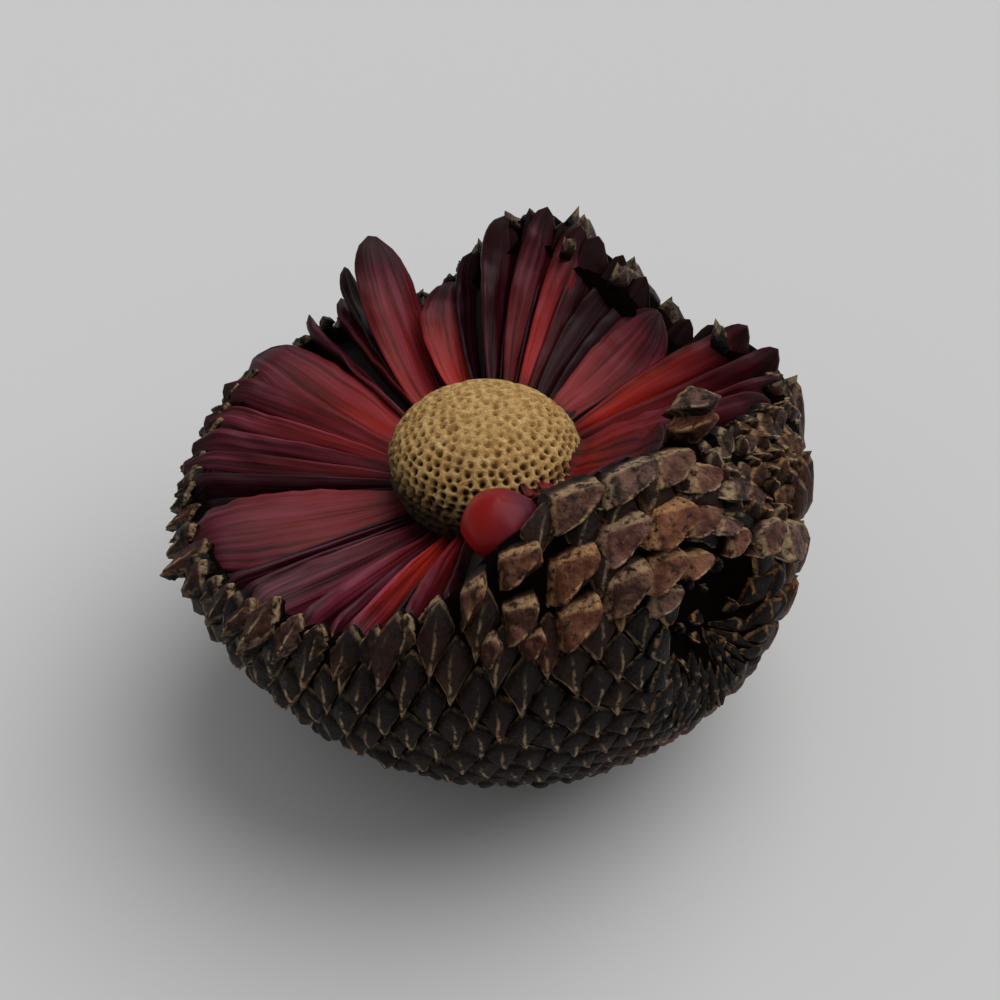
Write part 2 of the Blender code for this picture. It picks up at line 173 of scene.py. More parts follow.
# Dry, bare wood, quite matt: tan to straw in patches about 2 mm across, with grain of 0.4 mm in relief. It is
# brown down in the pits.
axis_wood, tree, shader, mm = new_material("dry_tan_axis_wood")
depth = node(tree, "ShaderNodeAttribute", attribute_name="pit_depth").outputs["Fac"]
grain = noise(tree, mm, 0.55, 5.0, 0.65)
fine = noise(tree, mm, 2.4, 4.0)
ridge = node(tree, "ShaderNodeMapRange", {"Value": grain, "From Min": 0.35, "From Max": 0.7}).outputs["Result"]
tan = node(tree, "ShaderNodeMix", {
    0: ridge, 6: colour("9C6F38"), 7: colour("D9B678"),
}, data_type="RGBA").outputs[2]
sunk = node(tree, "ShaderNodeMapRange", {"Value": depth, "From Min": 0.25, "From Max": 0.8}).outputs["Result"]
pitted = node(tree, "ShaderNodeMix", {0: sunk, 6: tan, 7: colour("3A2312")}, data_type="RGBA").outputs[2]
# Below the level of the blades the wood is painted dark, broken up by the grain: painted shade round the foot of
# the axis.
tall = node(tree, "ShaderNodeSeparateXYZ", {0: mm}).outputs[2]
shade_height = maths(tree, "MULTIPLY_ADD", grain, 9.0, tall)
foot_shade = node(tree, "ShaderNodeMapRange", {
    "Value": shade_height, "From Min": AXIS_AT[2] + 12.5, "From Max": AXIS_AT[2] + 3.5, "To Max": 0.94,
}).outputs["Result"]
foot_shaded_wood = node(tree, "ShaderNodeMix", {0: foot_shade, 6: pitted, 7: colour("1E0F07")}, data_type="RGBA").outputs[2]
tree.links.new(foot_shaded_wood, shader.inputs["Base Color"])
shader.inputs["Roughness"].default_value = 0.85
shader.inputs["Specular IOR Level"].default_value = 0.25
bump = node(tree, "ShaderNodeBump", {"Height": fine, "Strength": 0.9, "Distance": 0.0009})
tree.links.new(bump.outputs[0], shader.inputs["Normal"])

pits = []
row_height = PIT_SPACING * 0.82
rows = int(math.pi * (AXIS_TOP + AXIS_RADIUS) / 2 / row_height)
for row in range(1, rows):
    latitude = math.pi * (row / rows - 0.5)
    tall = AXIS_TOP if latitude > 0 else AXIS_BOTTOM
    count = max(3, round(2 * math.pi * AXIS_RADIUS * math.cos(latitude) / PIT_SPACING))
    for i in range(count):
        turn = 2 * math.pi * (i + 0.5 * (row % 2)) / count + rng.normal() * 0.012
        wobble = latitude + rng.normal() * 0.012
        radius = AXIS_RADIUS * math.cos(wobble)
        pits.append((radius * math.cos(turn), radius * math.sin(turn), tall * math.sin(wobble)))
pit_places = new_mesh("pit_places", pits)
bm = bmesh.new()
bmesh.ops.create_icosphere(bm, subdivisions=7, radius=1.0)
dome = np.array([v.co for v in bm.verts])
dome_faces = [[v.index for v in f.verts] for f in bm.faces]
bm.free()
half_above = (AXIS_RADIUS, AXIS_RADIUS, AXIS_TOP)
half_below = (AXIS_RADIUS, AXIS_RADIUS, AXIS_BOTTOM)
dome *= np.where(dome[:, 2:] > 0, half_above, half_below)
core = new_mesh("cone_axis", dome, dome_faces)

pitting, start, end = new_tree("pitted_axis", {"Pit radius": 1.22, "Pit depth": 1.9, "Roughness": 2.4})
where = node(pitting, "GeometryNodeInputPosition").outputs[0]
tall = node(pitting, "ShaderNodeSeparateXYZ", {0: where}).outputs[2]
top = node(pitting, "ShaderNodeMapRange", {
    "Value": tall, "From Min": (AXIS_AT[2] + 7.5) * 0.001, "From Max": (AXIS_AT[2] + 14.5) * 0.001,
    "To Min": 1.0, "To Max": 0.45,
}).outputs["Result"]
holes = node(pitting, "GeometryNodeObjectInfo", {"Object": pit_places}, transform_space="RELATIVE")
away = node(pitting, "GeometryNodeProximity", {
    0: holes.outputs["Geometry"], "Sample Position": where,
}, target_element="POINTS").outputs["Distance"]
away_mm = maths(pitting, "MULTIPLY", away, 1000.0)
scatter = noise(pitting, where, 330.0, 3.0)
ragged = maths(pitting, "MULTIPLY_ADD", scatter, 1.6, -0.8)
edge = maths(pitting, "ADD", away_mm, ragged)
shape = node(pitting, "ShaderNodeMapRange", {
    "Value": edge, "From Min": start.outputs["Pit radius"], "From Max": 0.25, "To Min": 0.0, "To Max": 1.0,
}, interpolation_type="SMOOTHSTEP").outputs["Result"]
lumps = noise(pitting, where, 190.0, 5.0, 0.6)
lump = maths(pitting, "SUBTRACT", lumps, 0.5)
lump_mm = maths(pitting, "MULTIPLY", lump, start.outputs["Roughness"])
shape = maths(pitting, "MULTIPLY", shape, top)
sink = maths(pitting, "MULTIPLY", shape, start.outputs["Pit depth"])
inward = maths(pitting, "SUBTRACT", lump_mm, sink)
capped = maths(pitting, "MINIMUM", inward, 0.05)
inward_m = maths(pitting, "MULTIPLY", capped, 0.001)
facing = node(pitting, "GeometryNodeInputNormal").outputs[0]
move = node(pitting, "ShaderNodeVectorMath", {0: facing, "Scale": inward_m}, operation="SCALE").outputs[0]
kept = keep(pitting, start.outputs["Geometry"], "pit_depth", shape)
moved = node(pitting, "GeometryNodeSetPosition", {"Geometry": kept, "Offset": move}).outputs["Geometry"]
real = node(pitting, "GeometryNodeRealizeInstances", {0: moved}).outputs[0]
node(pitting, "GeometryNodeSetMaterial", {"Geometry": real, "Material": axis_wood})
pitting.links.new(pitting.nodes[-1].outputs[0], end.inputs[0])
grow(core, pitting)
bpy.data.objects.remove(pit_places, do_unlink=True)
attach(core, "root")
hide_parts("core")


# The bed of the outer scales: the woody bases of all the brown tips, grown together into the wall of the cone.
# Only its dark depth shows, between the tips and along the broken rim.
BODY = np.array([78.0, 78.0, 58.0])
BODY_BELOW_AXIS = np.array([0.0, 0.0, 21.0])
WALL = 5.5
LINING = 9.0
BLADE_RISE = 5.5
# Direction in degrees, and the rise of the broken rim there.
RIM_TO = [
    -180, -165, -145, -130, -115, -104, -95, -85, -76, -54, -36, -20, -5, 8, 18, 28, 38, 45, 52, 64, 78, 88, 95,
    104, 122, 135, 150, 165,
]
RIM_RISE = [
    -9, -8, -5, -1, 1, 6, 14, 23, 27, 31, 29, 22, 16, 9, 9, 11, 6, 10, 18, 23, 27, 25, 12, 0, -1, -5, -4, -9,
]
# Direction, and the share by which the upper wall swells there. The slim side: middle, width and share.
SWELL_TO = [
    -180, -25, -5, 4, 10, 16, 22, 28, 34, 40, 46, 52, 58, 64, 70, 76, 82, 88, 94, 100, 106, 112, 125, 145, 165,
]
SWELL = [
    0.0, 0.0, 0.03, 0.09, 0.14, 0.16, 0.16, 0.13, 0.0, -0.04, 0.0, 0.06, 0.105, 0.155, 0.19, 0.28, 0.235, 0.155,
    0.02, -0.05, -0.04, 0.0, 0.03, 0.035, 0.0,
]
SLIM = (-125, 60, 0.08)
# Direction, and the height at which the bowl meets the axis there.
ROOT_TO = [-180, -150, -120, -105, -95, -85, -76, -54, -36, -20, -5, 10, 38, 60, 78, 92, 100, 115, 135, 160]
ROOT_HEIGHT = [-10, -10, -9, -6, 0, 4, 6.5, 7.4, 7, 5, 3, 0, -1, 3, 5, 2, -3, -6, -9, -10]


def smooth(value, low, high):
    """0 up to the low end, 1 from the high end on, and a soft step between."""
    part = np.clip((value - low) / (high - low), 0, 1)
    return part * part * (3 - 2 * part)


def direction(azimuth, elevation):
    """Unit vector from degrees round the axis and degrees above the level."""
    az, el = np.broadcast_arrays(np.radians(azimuth), np.radians(elevation))
    return np.stack([np.cos(el) * np.cos(az), np.cos(el) * np.sin(az), np.sin(el)], axis=-1)


def rim_rise(azimuth):
    """Rise of the broken rim, in degrees, seen from the axis."""
    return np.interp(azimuth, RIM_TO, RIM_RISE, period=360)


def body_reach(rays):
    """Distance from the axis to the grooves outside: a flattened ball, swollen at the back and right."""
    a = BODY_BELOW_AXIS / BODY
    b = rays / BODY
    half = b @ a
    square = (b * b).sum(axis=-1)
    reach = (-half + np.sqrt(half * half - square * (a @ a - 1))) / square
    azimuth = np.degrees(np.arctan2(rays[..., 1], rays[..., 0]))
    elevation = np.degrees(np.arcsin(np.clip(rays[..., 2], -1, 1)))
    swell = np.interp(azimuth, SWELL_TO, SWELL, period=360) * smooth(elevation, -22, 9)
    from_slim = (azimuth - SLIM[0] + 180) % 360 - 180
    slim = SLIM[2] * np.exp(-((from_slim / SLIM[1]) ** 2)) * smooth(-elevation, -5, 27)
    return reach * (1 + swell) * (1 - slim)


def rim_radius(azimuth):
    """Level distance from the axis to the rim."""
    rays = direction(azimuth, rim_rise(azimuth))
    return body_reach(rays) * np.hypot(rays[..., 0], rays[..., 1])


def bowl_line(azimuth, radius):
    """Height of the bowl over the middle of the axis. It sinks inwards, most on the left and in front."""
    rise = np.tan(np.radians(rim_rise(azimuth)))
    root = np.interp(azimuth, ROOT_TO, ROOT_HEIGHT, period=360)
    reach = rim_radius(azimuth)
    along = np.clip((radius - AXIS_RADIUS) / (reach - AXIS_RADIUS), 0, 1.3)
    return root + (reach * rise - root) * along


# Nearly black, dull brown wood: painted shade, so the grooves between the tips read as black.
bed_wood, tree, shader, mm = new_material("painted_shade_scale_bases")
shade = noise(tree, mm, 0.3, 5.0)
dark = node(tree, "ShaderNodeMix", {
    0: shade, 6: colour("030201"), 7: colour("0B0604"),
}, data_type="RGBA").outputs[2]
tree.links.new(dark, shader.inputs["Base Color"])
shader.inputs["Roughness"].default_value = 1.0
shader.inputs["Specular IOR Level"].default_value = 0.02

# Azimuth and rise of the end of the cone, and of the hollow beside it.
POLE_TO = (-38.0, -14.3)
HOLLOW_TO = (-42.0, -7.5)
HOLLOW_DEPTH = 11.0
HOLLOW_EDGE = 16.0


def from_hollow(rays):
    """Angle from the middle of the hollow at the cone's end, where the smallest scales have dropped out."""
    share = rays @ direction(*HOLLOW_TO) / np.linalg.norm(rays, axis=-1)
    return np.degrees(np.arccos(np.clip(share, -1, 1)))


def sunk_at_hollow(rays):
    """How far the outside is sunk at the hollow, in millimetres."""
    return HOLLOW_DEPTH * (1 - smooth(from_hollow(rays), HOLLOW_EDGE * 0.5, HOLLOW_EDGE))


def cover_smoothly(obj, material):
    """Shades a piece smoothly and gives it its material."""
    for polygon in obj.data.polygons:
        polygon.use_smooth = True
    obj.data.materials.append(material)


ROUND = 180
BED_BELOW_GROOVES = 0.6
turns = np.arange(ROUND) * 360 / ROUND
loops = []
for part in np.linspace(0.02, 1.0, 60):
    elevation = -90 + (rim_rise(turns) - np.where((turns > 12) & (turns < 190), 5.0, 1.5) + 90) * part
    rays = direction(turns, elevation)
    loops.append(rays * (body_reach(rays) - sunk_at_hollow(rays) - BED_BELOW_GROOVES)[:, None])
inside = rim_radius(turns) - WALL + 0.4
ring = direction(turns, 0.0)
loops.append(ring * inside[:, None] + np.stack([0 * turns, 0 * turns, bowl_line(turns, inside) - 2], axis=-1))
wall_foot = bowl_line(turns, inside) - BLADE_RISE - LINING
loops.append(ring * (inside - 0.3)[:, None] + np.stack([0 * turns, 0 * turns, wall_foot], axis=-1))
loops.append(ring * 20.0 + np.array([0, 0, -AXIS_BOTTOM - 5]))
points = np.concatenate(loops)
faces = []
for loop in range(len(loops) - 1):
    for i in range(ROUND):
        j = (i + 1) % ROUND
        faces.append((loop * ROUND + i, loop * ROUND + j, (loop + 1) * ROUND + j, (loop + 1) * ROUND + i))
faces.append(tuple(range(ROUND - 1, -1, -1)))
faces.append(tuple((len(loops) - 1) * ROUND + i for i in range(ROUND)))
FLOOR = -AXIS_AT[2]
points[:, 2] = np.maximum(points[:, 2], FLOOR + 0.4)
bed = new_mesh("scale_bed", points, faces)
cover_smoothly(bed, bed_wood)
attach(bed, "root")
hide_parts("outer_scales")


# The outer ends of the seed scales: woody rhombic tips that wind round the end of the cone in two sets of
# spirals. Each has a raised keel along its long diagonal and a small pointed beak at the end of it. They are
# dry and dark brown, rubbed to taupe and tan on what stands out, which is partly painted light, with painted
# shade below and low in front.
SCALES_ROUND = 19
RINGS = 40
FIRST_RING = 5.0
RING_STEP = 3.88
LATTICE_TWIST = 0.068
CROWDING = 0.36
CROWDED_FROM = -1.1
SPREAD = 27.0
SCALE_HEIGHT = 3.3
# How far the feet of the scales are sunk, how much more on the back wall, and how much more again where it swells.
FEET_SUNK = 1.4
BACK_SUNK = 3.0
LOBE_SUNK = 3.2
# Large scales of the near wall: direction and rise from the axis in degrees, then the half diagonal that ends in
# the beak and the half diagonal across it, each as millimetres to the right along the wall and upwards.
NEAR_WALL = [
    (-66, 27, -8.0, -4.7, 4.9, -3.0), (-49, 27, -9.3, -2.6, 4.0, -3.5), (-35, 24, -8.5, -0.5, 1.8, -4.2),
    (-30, 18, -7.3, 1.3, -0.3, -4.2), (-25, 12, -5.6, 1.7, -1.7, -3.3), (-82, 18, -4.8, -4.9, 5.1, -1.5),
    (-71, 15, -7.1, -5.9, 4.7, -2.9), (-58, 18, -8.1, -4.1, 4.2, -3.0), (-46, 17, -8.8, -1.8, 3.1, -3.5),
    (-38, 13, -7.1, 0.4, -0.2, -3.7), (-33, 9, -5.1, 1.2, -0.9, -2.4), (-92, 12, -2.3, -6.6, 3.1, -1.8),
    (-83, 9, -4.1, -5.2, 4.0, -2.1), (-72, 7, -5.6, -5.2, 4.8, -2.2), (-61, 10, -7.0, -4.6, 3.8, -2.4),
    (-52, 10, -7.4, -2.2, 2.5, -3.5), (-45, 8, -5.8, -0.4, 1.0, -3.0), (-81, 4, -2.2, -4.4, 4.0, -1.2),
    (-89, 4, -1.3, -4.4, 3.9, -0.4), (-54, 5, -5.4, -1.7, 2.5, -2.5), (-32, 5, -4.8, -1.1, 1.4, -3.7),
    (-24, 1, -6.7, -1.2, 2.9, -4.8), (-18, -4, -8.1, 0.6, 1.6, -6.6),
]
# Two scales that still stand folded above the wall: the middle and both half diagonals of each.
FOLDED = [
    ((48.5, -14.0, 22.0), (-7.4, -1.0, -2.4), (1.6, -4.2, -3.0)),
    ((49.5, -10.5, 25.6), (-7.0, -0.8, -1.8), (1.4, -4.2, -2.6)),
]
FOLDED_OUT = (1.0, -3.6, 4.6)


def lattice_ray(ring, column):
    """Direction of a place on the scale lattice, seen from the axis."""
    pole = direction(*POLE_TO)
    side = np.cross(pole, (0, 0, 1))
    side /= np.linalg.norm(side)
    over = np.cross(side, pole)
    turn = np.pi * column / SCALES_ROUND + LATTICE_TWIST * ring
    turn = turn + CROWDING * np.sin(turn - CROWDED_FROM)
    away = FIRST_RING + RING_STEP * ring + 0.05 * np.maximum(0.0, ring - 22) ** 2
    away = np.radians(away + SPREAD * ((1 + np.cos(turn)) / 2) ** 2 * np.sin(np.radians(away)))
    lean = np.cos(turn)[:, None] * over + np.sin(turn)[:, None] * side
    return np.cos(away)[:, None] * pole + np.sin(away)[:, None] * lean


def on_body(rays):
    """Places of scales on the body. Their feet are sunk, most below the thin broken edge at the back."""
    azimuth = np.degrees(np.arctan2(rays[:, 1], rays[:, 0]))
    elevation = np.degrees(np.arcsin(rays[:, 2]))
    rim = rim_rise(azimuth)
    back = smooth(azimuth, -2, 14) * smooth(-azimuth, -150, -120) * smooth(elevation, rim - 20, rim - 7)
    lobe = smooth(azimuth, 14, 26) * smooth(-azimuth, -78, -66)
    sunk = FEET_SUNK + (BACK_SUNK + LOBE_SUNK * lobe) * back + sunk_at_hollow(rays)
    return rays * (body_reach(rays) - sunk)[:, None]


def east_of(ray):
    """Level unit vector to the right of a place on the outside, for a viewer who faces it."""
    return np.array([-ray[1], ray[0], 0]) / np.hypot(ray[0], ray[1])


ring, column = np.meshgrid(np.arange(RINGS), np.arange(2 * SCALES_ROUND), indexing="ij")
even = (ring + column) % 2 == 0
ring = ring[even].astype(float)
column = column[even].astype(float)
middle = on_body(lattice_ray(ring, column))
long_half = (on_body(lattice_ray(ring, column + 1)) - on_body(lattice_ray(ring, column - 1))) / 2
short_half = (on_body(lattice_ray(ring + 1, column)) - on_body(lattice_ray(ring - 1, column))) / 2
azimuth = np.degrees(np.arctan2(middle[:, 1], middle[:, 0]))
elevation = np.degrees(np.arcsin(middle[:, 2] / np.linalg.norm(middle, axis=1)))
# They end below the rim, furthest down where the back wall is thin.
bare = np.where((azimuth > 12) & (azimuth < 140), np.where(azimuth < 100, 10.5, 5.0), 3.0)
present = elevation < rim_rise(azimuth) - bare
for az, el, long_right, long_up, short_right, short_up in NEAR_WALL:
    ray = direction(az, el)
    east = east_of(ray)
    north = np.cross(ray, east)
    axes = np.stack([east * long_right + north * long_up, east * short_right + north * short_up, ray * 9])
    shares = np.abs((middle - ray * body_reach(ray)) @ np.linalg.inv(axes))
    present &= (shares[:, 0] + shares[:, 1] > 0.85) | (shares[:, 2] > 1)
small_part = np.exp(-(((azimuth + 4) / 24) ** 2) - ((elevation - 10) / 14) ** 2)
present &= (small_part < 0.45) & (from_hollow(middle) > 12.0)
middle, long_half, short_half = middle[present], long_half[present], short_half[present]


def outward(long_half, short_half, middle):
    """Unit vectors square to each scale, away from the axis."""
    normal = np.cross(long_half, short_half)
    normal /= np.linalg.norm(normal, axis=1)[:, None]
    return normal * np.sign((normal * middle).sum(axis=1))[:, None]


normal = outward(long_half, short_half, middle)
size = np.sqrt(np.linalg.norm(long_half, axis=1) * np.linalg.norm(short_half, axis=1))
height = SCALE_HEIGHT * np.clip(size / 6.5, 0.35, 1.2)
azimuth = np.degrees(np.arctan2(middle[:, 1], middle[:, 0]))
elevation = np.degrees(np.arcsin(middle[:, 2] / np.linalg.norm(middle, axis=1)))
tilt = rng.normal(size=(len(middle), 2)) * 0.08
long_unit = long_half / np.linalg.norm(long_half, axis=1)[:, None]
short_unit = short_half / np.linalg.norm(short_half, axis=1)[:, None]
out = normal + long_unit * tilt[:, :1] + short_unit * tilt[:, 1:]
out *= (height * rng.uniform(0.8, 1.25, len(middle)))[:, None]
swing = rng.normal(size=(len(middle), 1)) * 0.07
grown = rng.uniform(0.98, 1.07, (len(middle), 1))
long_half = (long_half + short_half * swing) * grown
short_half = (short_half - long_half * swing * 0.3) * grown

on_lattice = len(middle)
# Small thorny scales crowd the wall beside the break, and a few stumps stand in the hollow at the cone's end.
# Each: range of directions and of rises, number of tries, room round each scale and half its length.
SMALL_SCALES = [(-30, 20, -3, 22, 2500, 3.5, 4.0), (-56, -28, -20, 6, 60, 5.5, 2.8)]
for first_az, last_az, low_el, high_el, count, room, length in SMALL_SCALES:
    thorny = length > 3.5
    kept = []
    for _ in range(count):
        az, el = rng.uniform(first_az, last_az), rng.uniform(low_el, high_el)
        ray = direction(az, el)
        spot = on_body(ray[None])[0]
        if el > rim_rise(az) - 2.5 or min([float(np.linalg.norm(spot - k)) for k in kept] + [99]) < room:
            continue
        beside_break = math.exp(-(((az + 4) / 24) ** 2) - ((el - 10) / 14) ** 2)
        if thorny and beside_break < 0.4 or not thorny and from_hollow(ray) > 12:
            continue
        kept.append(spot)
        east = east_of(ray)
        north = np.cross(ray, east)
        turn = rng.normal(2.6, 0.9)
        along = east * math.cos(turn) + north * math.sin(turn)
        size = length * rng.uniform(0.8, 1.25)
        middle = np.vstack([middle, spot])
        long_half = np.vstack([long_half, along * size])
        short_half = np.vstack([short_half, np.cross(ray, along) * size * rng.uniform(0.55, 0.8)])
        out = np.vstack([out, (ray + along * rng.uniform(0.1, 0.7)) * size * 0.85])
azimuth = np.degrees(np.arctan2(middle[:, 1], middle[:, 0]))
elevation = np.degrees(np.arcsin(middle[:, 2] / np.linalg.norm(middle, axis=1)))
sites = new_mesh("scale_sites", middle)
store(sites, "long_half", long_half * 0.001)
store(sites, "short_half", short_half * 0.001)
store(sites, "out", out * 0.001)
# Painted shade: the scales low down in front, the small thorny and stump scales, and those in and round the hollow
# at the cone's end are darkened in the material.
in_shade = smooth(-elevation, -10, 8) * (0.3 + 0.7 * smooth(-azimuth, 45, 72))
in_shade[on_lattice:] = np.maximum(in_shade[on_lattice:], 0.55)
store(sites, "shade", np.maximum(in_shade, 1.15 * (1 - smooth(from_hollow(middle), 17, 31))))
rusty = 0.8 * np.exp(-(((azimuth + 20) / 30) ** 2) - ((elevation + 16) / 24) ** 2)
store(sites, "warm", np.clip(rusty + rng.normal(size=len(middle)) * 0.22, 0, 1))


def face_outwards(mesh):
    """Turns all faces of a closed mesh to the outside."""
    work = bmesh.new()
    work.from_mesh(mesh)
    bmesh.ops.recalc_face_normals(work, faces=work.faces)
    work.to_mesh(mesh)
    work.free()


def scale_form(name, seed, cells, keel, beak, plump=0.5):
    """One scale on a unit rhombus: x runs along the crest to the beak, y across it, z is the height."""
    draw = np.random.default_rng(seed)
    steps = np.sin(np.linspace(-1, 1, cells + 1) * 1.25) / math.sin(1.25)
    s, t = np.meshgrid(steps, steps, indexing="ij")
    s, t = s.ravel(), t.ravel()
    rounder = np.clip(0.5 - 0.5 * (s + t) / 2, 0, 1) * plump
    x = (s * np.sqrt(1 - rounder * t * t / 2) + t * np.sqrt(1 - rounder * s * s / 2)) / 2
    y = (s * np.sqrt(1 - rounder * t * t / 2) - t * np.sqrt(1 - rounder * s * s / 2)) / 2
    large = cells > 8
    sharp = 8 if large else 5
    pillow = ((1 - np.abs(s) ** sharp) * (1 - np.abs(t) ** sharp)) ** 0.5
    crest_y = keel * (1 - x * x) + 0.07 * np.sin(4 * x + seed) * (1 - np.abs(x))
    crest = np.exp(-np.abs(y - crest_y) / 0.2) * smooth(x, -1.0, 0.0)
    roof = np.clip(1 - np.abs(y - crest_y) / (1 - np.sign(y - crest_y) * crest_y), 0, 1)
    flat = 0.22 if large else 0.5
    z = pillow * (flat + (1 - flat) * roof ** 0.9 + 0.1 * crest + 0.1 * x)
    for _ in range(8 if large else 4):
        cx, cy = draw.uniform(-0.6, 0.6, 2)
        raised = draw.uniform(-0.1, 0.05)
        z += pillow * raised * np.exp(-((x - cx) ** 2 + (y - cy) ** 2) / draw.uniform(0.01, 0.05))
    point = smooth(x, 0.6, 1.0)
    z = np.maximum(z, point * 0.5) + point * 0.2 * beak
    x = x * (1 + 0.08 * point * beak)
    top = np.stack([x, y, z], axis=1)
    count = cells + 1
    border = [i for i in range(count)]
    border += [i * count + count - 1 for i in range(1, count)]
    border += [count * count - 1 - i for i in range(1, count)]
    border += [(count - 1 - i) * count for i in range(1, count - 1)]
    skirt = top[border] * (0.94, 0.94, 0) + (0, 0, -0.75)
    places = np.concatenate([top, skirt])
    quads = []
    for i in range(cells):
        for j in range(cells):
            a = i * count + j
            quads.append((a, a + count, a + count + 1, a + 1))
    for i in range(len(border)):
        j = (i + 1) % len(border)
        quads.append((border[i], border[j], count * count + j, count * count + i))
    quads.append(tuple(count * count + i for i in range(len(border)))[::-1])
    mesh = bpy.data.meshes.new(name)
    mesh.from_pydata([tuple(p) for p in places], [], quads)
    form = bpy.data.objects.new(name, mesh)
    edge = np.maximum(np.abs(s), np.abs(t))
    store(form, "rise", np.concatenate([np.clip(z, 0, 1.3), np.full(len(border), -0.75)]))
    store(form, "toward_beak", np.concatenate([x, top[border][:, 0]]))
    store(form, "off_crest", np.concatenate([y - crest_y, (y - crest_y)[border]]))
    store(form, "edge", np.concatenate([edge, np.ones(len(border)) * 2]))
    face_outwards(mesh)
    return form


# Dry brown wood, dull with a faint sheen and chapped all over. Blotches about 4 mm across are rubbed pale,
# flakes of 2 mm are dark, and the ridges and sharp rims are worn to light lines less than 1 mm wide. The pale
# blotches and lines are partly painted light, and painted shade darkens the undersides, the front and the grooves.
brown_tips, tree, shader, mm = new_material("dry_brown_scale_tips")


def reading(name):
    """The value of an attribute in the material that is being made."""
    return node(tree, "ShaderNodeAttribute", attribute_name=name).outputs["Fac"]


def spread(value, low, high, to_low=0.0, to_high=1.0):
    """A value mapped from one range to another, and kept inside it."""
    return node(tree, "ShaderNodeMapRange", {
        "Value": value, "From Min": low, "From Max": high, "To Min": to_low, "To Max": to_high,
    }).outputs[0]


def times(one, other):
    """One value times another."""
    return maths(tree, "MULTIPLY", one, other)


def blend(part, below, above):
    """One colour over another. Each is a hex value or an output."""
    below, above = (colour(c) if isinstance(c, str) else c for c in (below, above))
    return node(tree, "ShaderNodeMix", {0: part, 6: below, 7: above}, data_type="RGBA").outputs[2]


patches = noise(tree, mm, 0.24, 6.0, 0.65)
flakes = noise(tree, mm, 0.5, 7.0, 0.62)
# Each scale has its own brown, every third one redder, and those at the right end are rust coloured.
own = blend(reading("tone"), "1E110C", "3E261C")
redder = maths(tree, "PINGPONG", times(reading("tone"), 7.3), 2.0)
own = blend(spread(redder, 1.1, 2.0, 0.0, 0.8), own, "4C2219")
own = blend(reading("warm"), own, "5E3218")
# The flanks that face up are rubbed to taupe in patches, which is partly wear and partly painted light; the others
# stay dark.
rubbed_and_lit = times(spread(patches, 0.42, 0.62), spread(reading("upward"), 0.05, 0.5))
own = blend(times(rubbed_and_lit, 0.72), own, blend(reading("warm"), "7E5B4E", "90552E"))
# The thin ridge of the keel and the sharp rim are worn to tan, and are a painted highlight too, brighter where
# they face the light.
wavy = maths(tree, "MULTIPLY_ADD", flakes, 0.22, reading("off_crest"))
ridge = maths(tree, "ABSOLUTE", maths(tree, "SUBTRACT", wavy, 0.11))
ridge = times(spread(ridge, 0.09, 0.03), spread(reading("toward_beak"), -0.5, 0.2))
rim = times(spread(reading("edge"), 0.84, 0.93), spread(reading("edge"), 1.2, 1.0))
worn = maths(tree, "MAXIMUM", ridge, times(rim, 0.8))
worn = times(times(worn, spread(flakes, 0.4, 0.56)), spread(reading("upward"), -0.1, 0.5, 0.4, 0.9))
# Painted shade: what stands in the shade or faces down is painted nearly black, and dark flakes break up the rest.
own = blend(times(reading("shade"), 0.92), own, "0C0503")
own = blend(spread(reading("upward"), 0.1, -0.45, 0.0, 0.7), own, "090504")
own = blend(worn, own, blend(reading("warm"), "A8906E", "BC8448"))
own = blend(spread(flakes, 0.46, 0.36, 0.0, 0.85), own, "120906")
# Painted shade: down in the grooves they are nearly black.
own = blend(spread(reading("rise"), 0.05, -0.4), own, "050302")
tree.links.new(own, shader.inputs["Base Color"])
shader.inputs["Roughness"].default_value = 0.45
shader.inputs["Specular IOR Level"].default_value = 0.14
bump = node(tree, "ShaderNodeBump", {"Height": flakes, "Strength": 0.9, "Distance": 0.0016})
tree.links.new(bump.outputs[0], shader.inputs["Normal"])

FORMS = 6
# Where the painted light comes from: mostly above. Faces turned to it are painted lighter, faces turned away
# darker.
PAINTED_LIGHT_FROM = (0.3, 0.25, 0.92)
forms = bpy.data.collections.new("scale_forms")
for index in range(FORMS):
    keel, beak = 0.1 - 0.09 * (index % 3), 0.9 + 0.5 * (index % 2)
    forms.objects.link(scale_form(f"scale_form_{index}", 40 + index, 6, keel, beak))

# One form on each place, stretched to the two half diagonals and the height kept there. The wood is roughened
# in lumps about 5 mm across, and what would go through the floor is levelled.
cover, start, end = new_tree("scale_cover", {
    "Roughness": 0.5, "Roughness scale": 210.0, "Floor": FLOOR + AXIS_AT[2],
})
chosen = node(cover, "GeometryNodeCollectionInfo", {
    "Collection": forms, "Separate Children": True, "Reset Children": True,
}).outputs[0]
pick = node(cover, "FunctionNodeRandomValue", {"Seed": 7}, data_type="INT")
pick.inputs[4].default_value = 0
pick.inputs[5].default_value = FORMS - 1
placed = node(cover, "GeometryNodeInstanceOnPoints", {
    "Points": start.outputs["Geometry"], "Instance": chosen,
    "Pick Instance": True, "Instance Index": pick.outputs[2],
}).outputs[0]
matrix = node(cover, "FunctionNodeCombineMatrix")
for col, name in enumerate(("long_half", "short_half", "out")):
    side = node(cover, "GeometryNodeInputNamedAttribute", {"Name": name}, data_type="FLOAT_VECTOR")
    parts = node(cover, "ShaderNodeSeparateXYZ", {0: side.outputs["Attribute"]})
    for row in range(3):
        cover.links.new(parts.outputs[row], matrix.inputs[col * 4 + row])
spot = node(cover, "ShaderNodeSeparateXYZ", {0: node(cover, "GeometryNodeInputPosition").outputs[0]})
for row in range(3):
    cover.links.new(spot.outputs[row], matrix.inputs[12 + row])
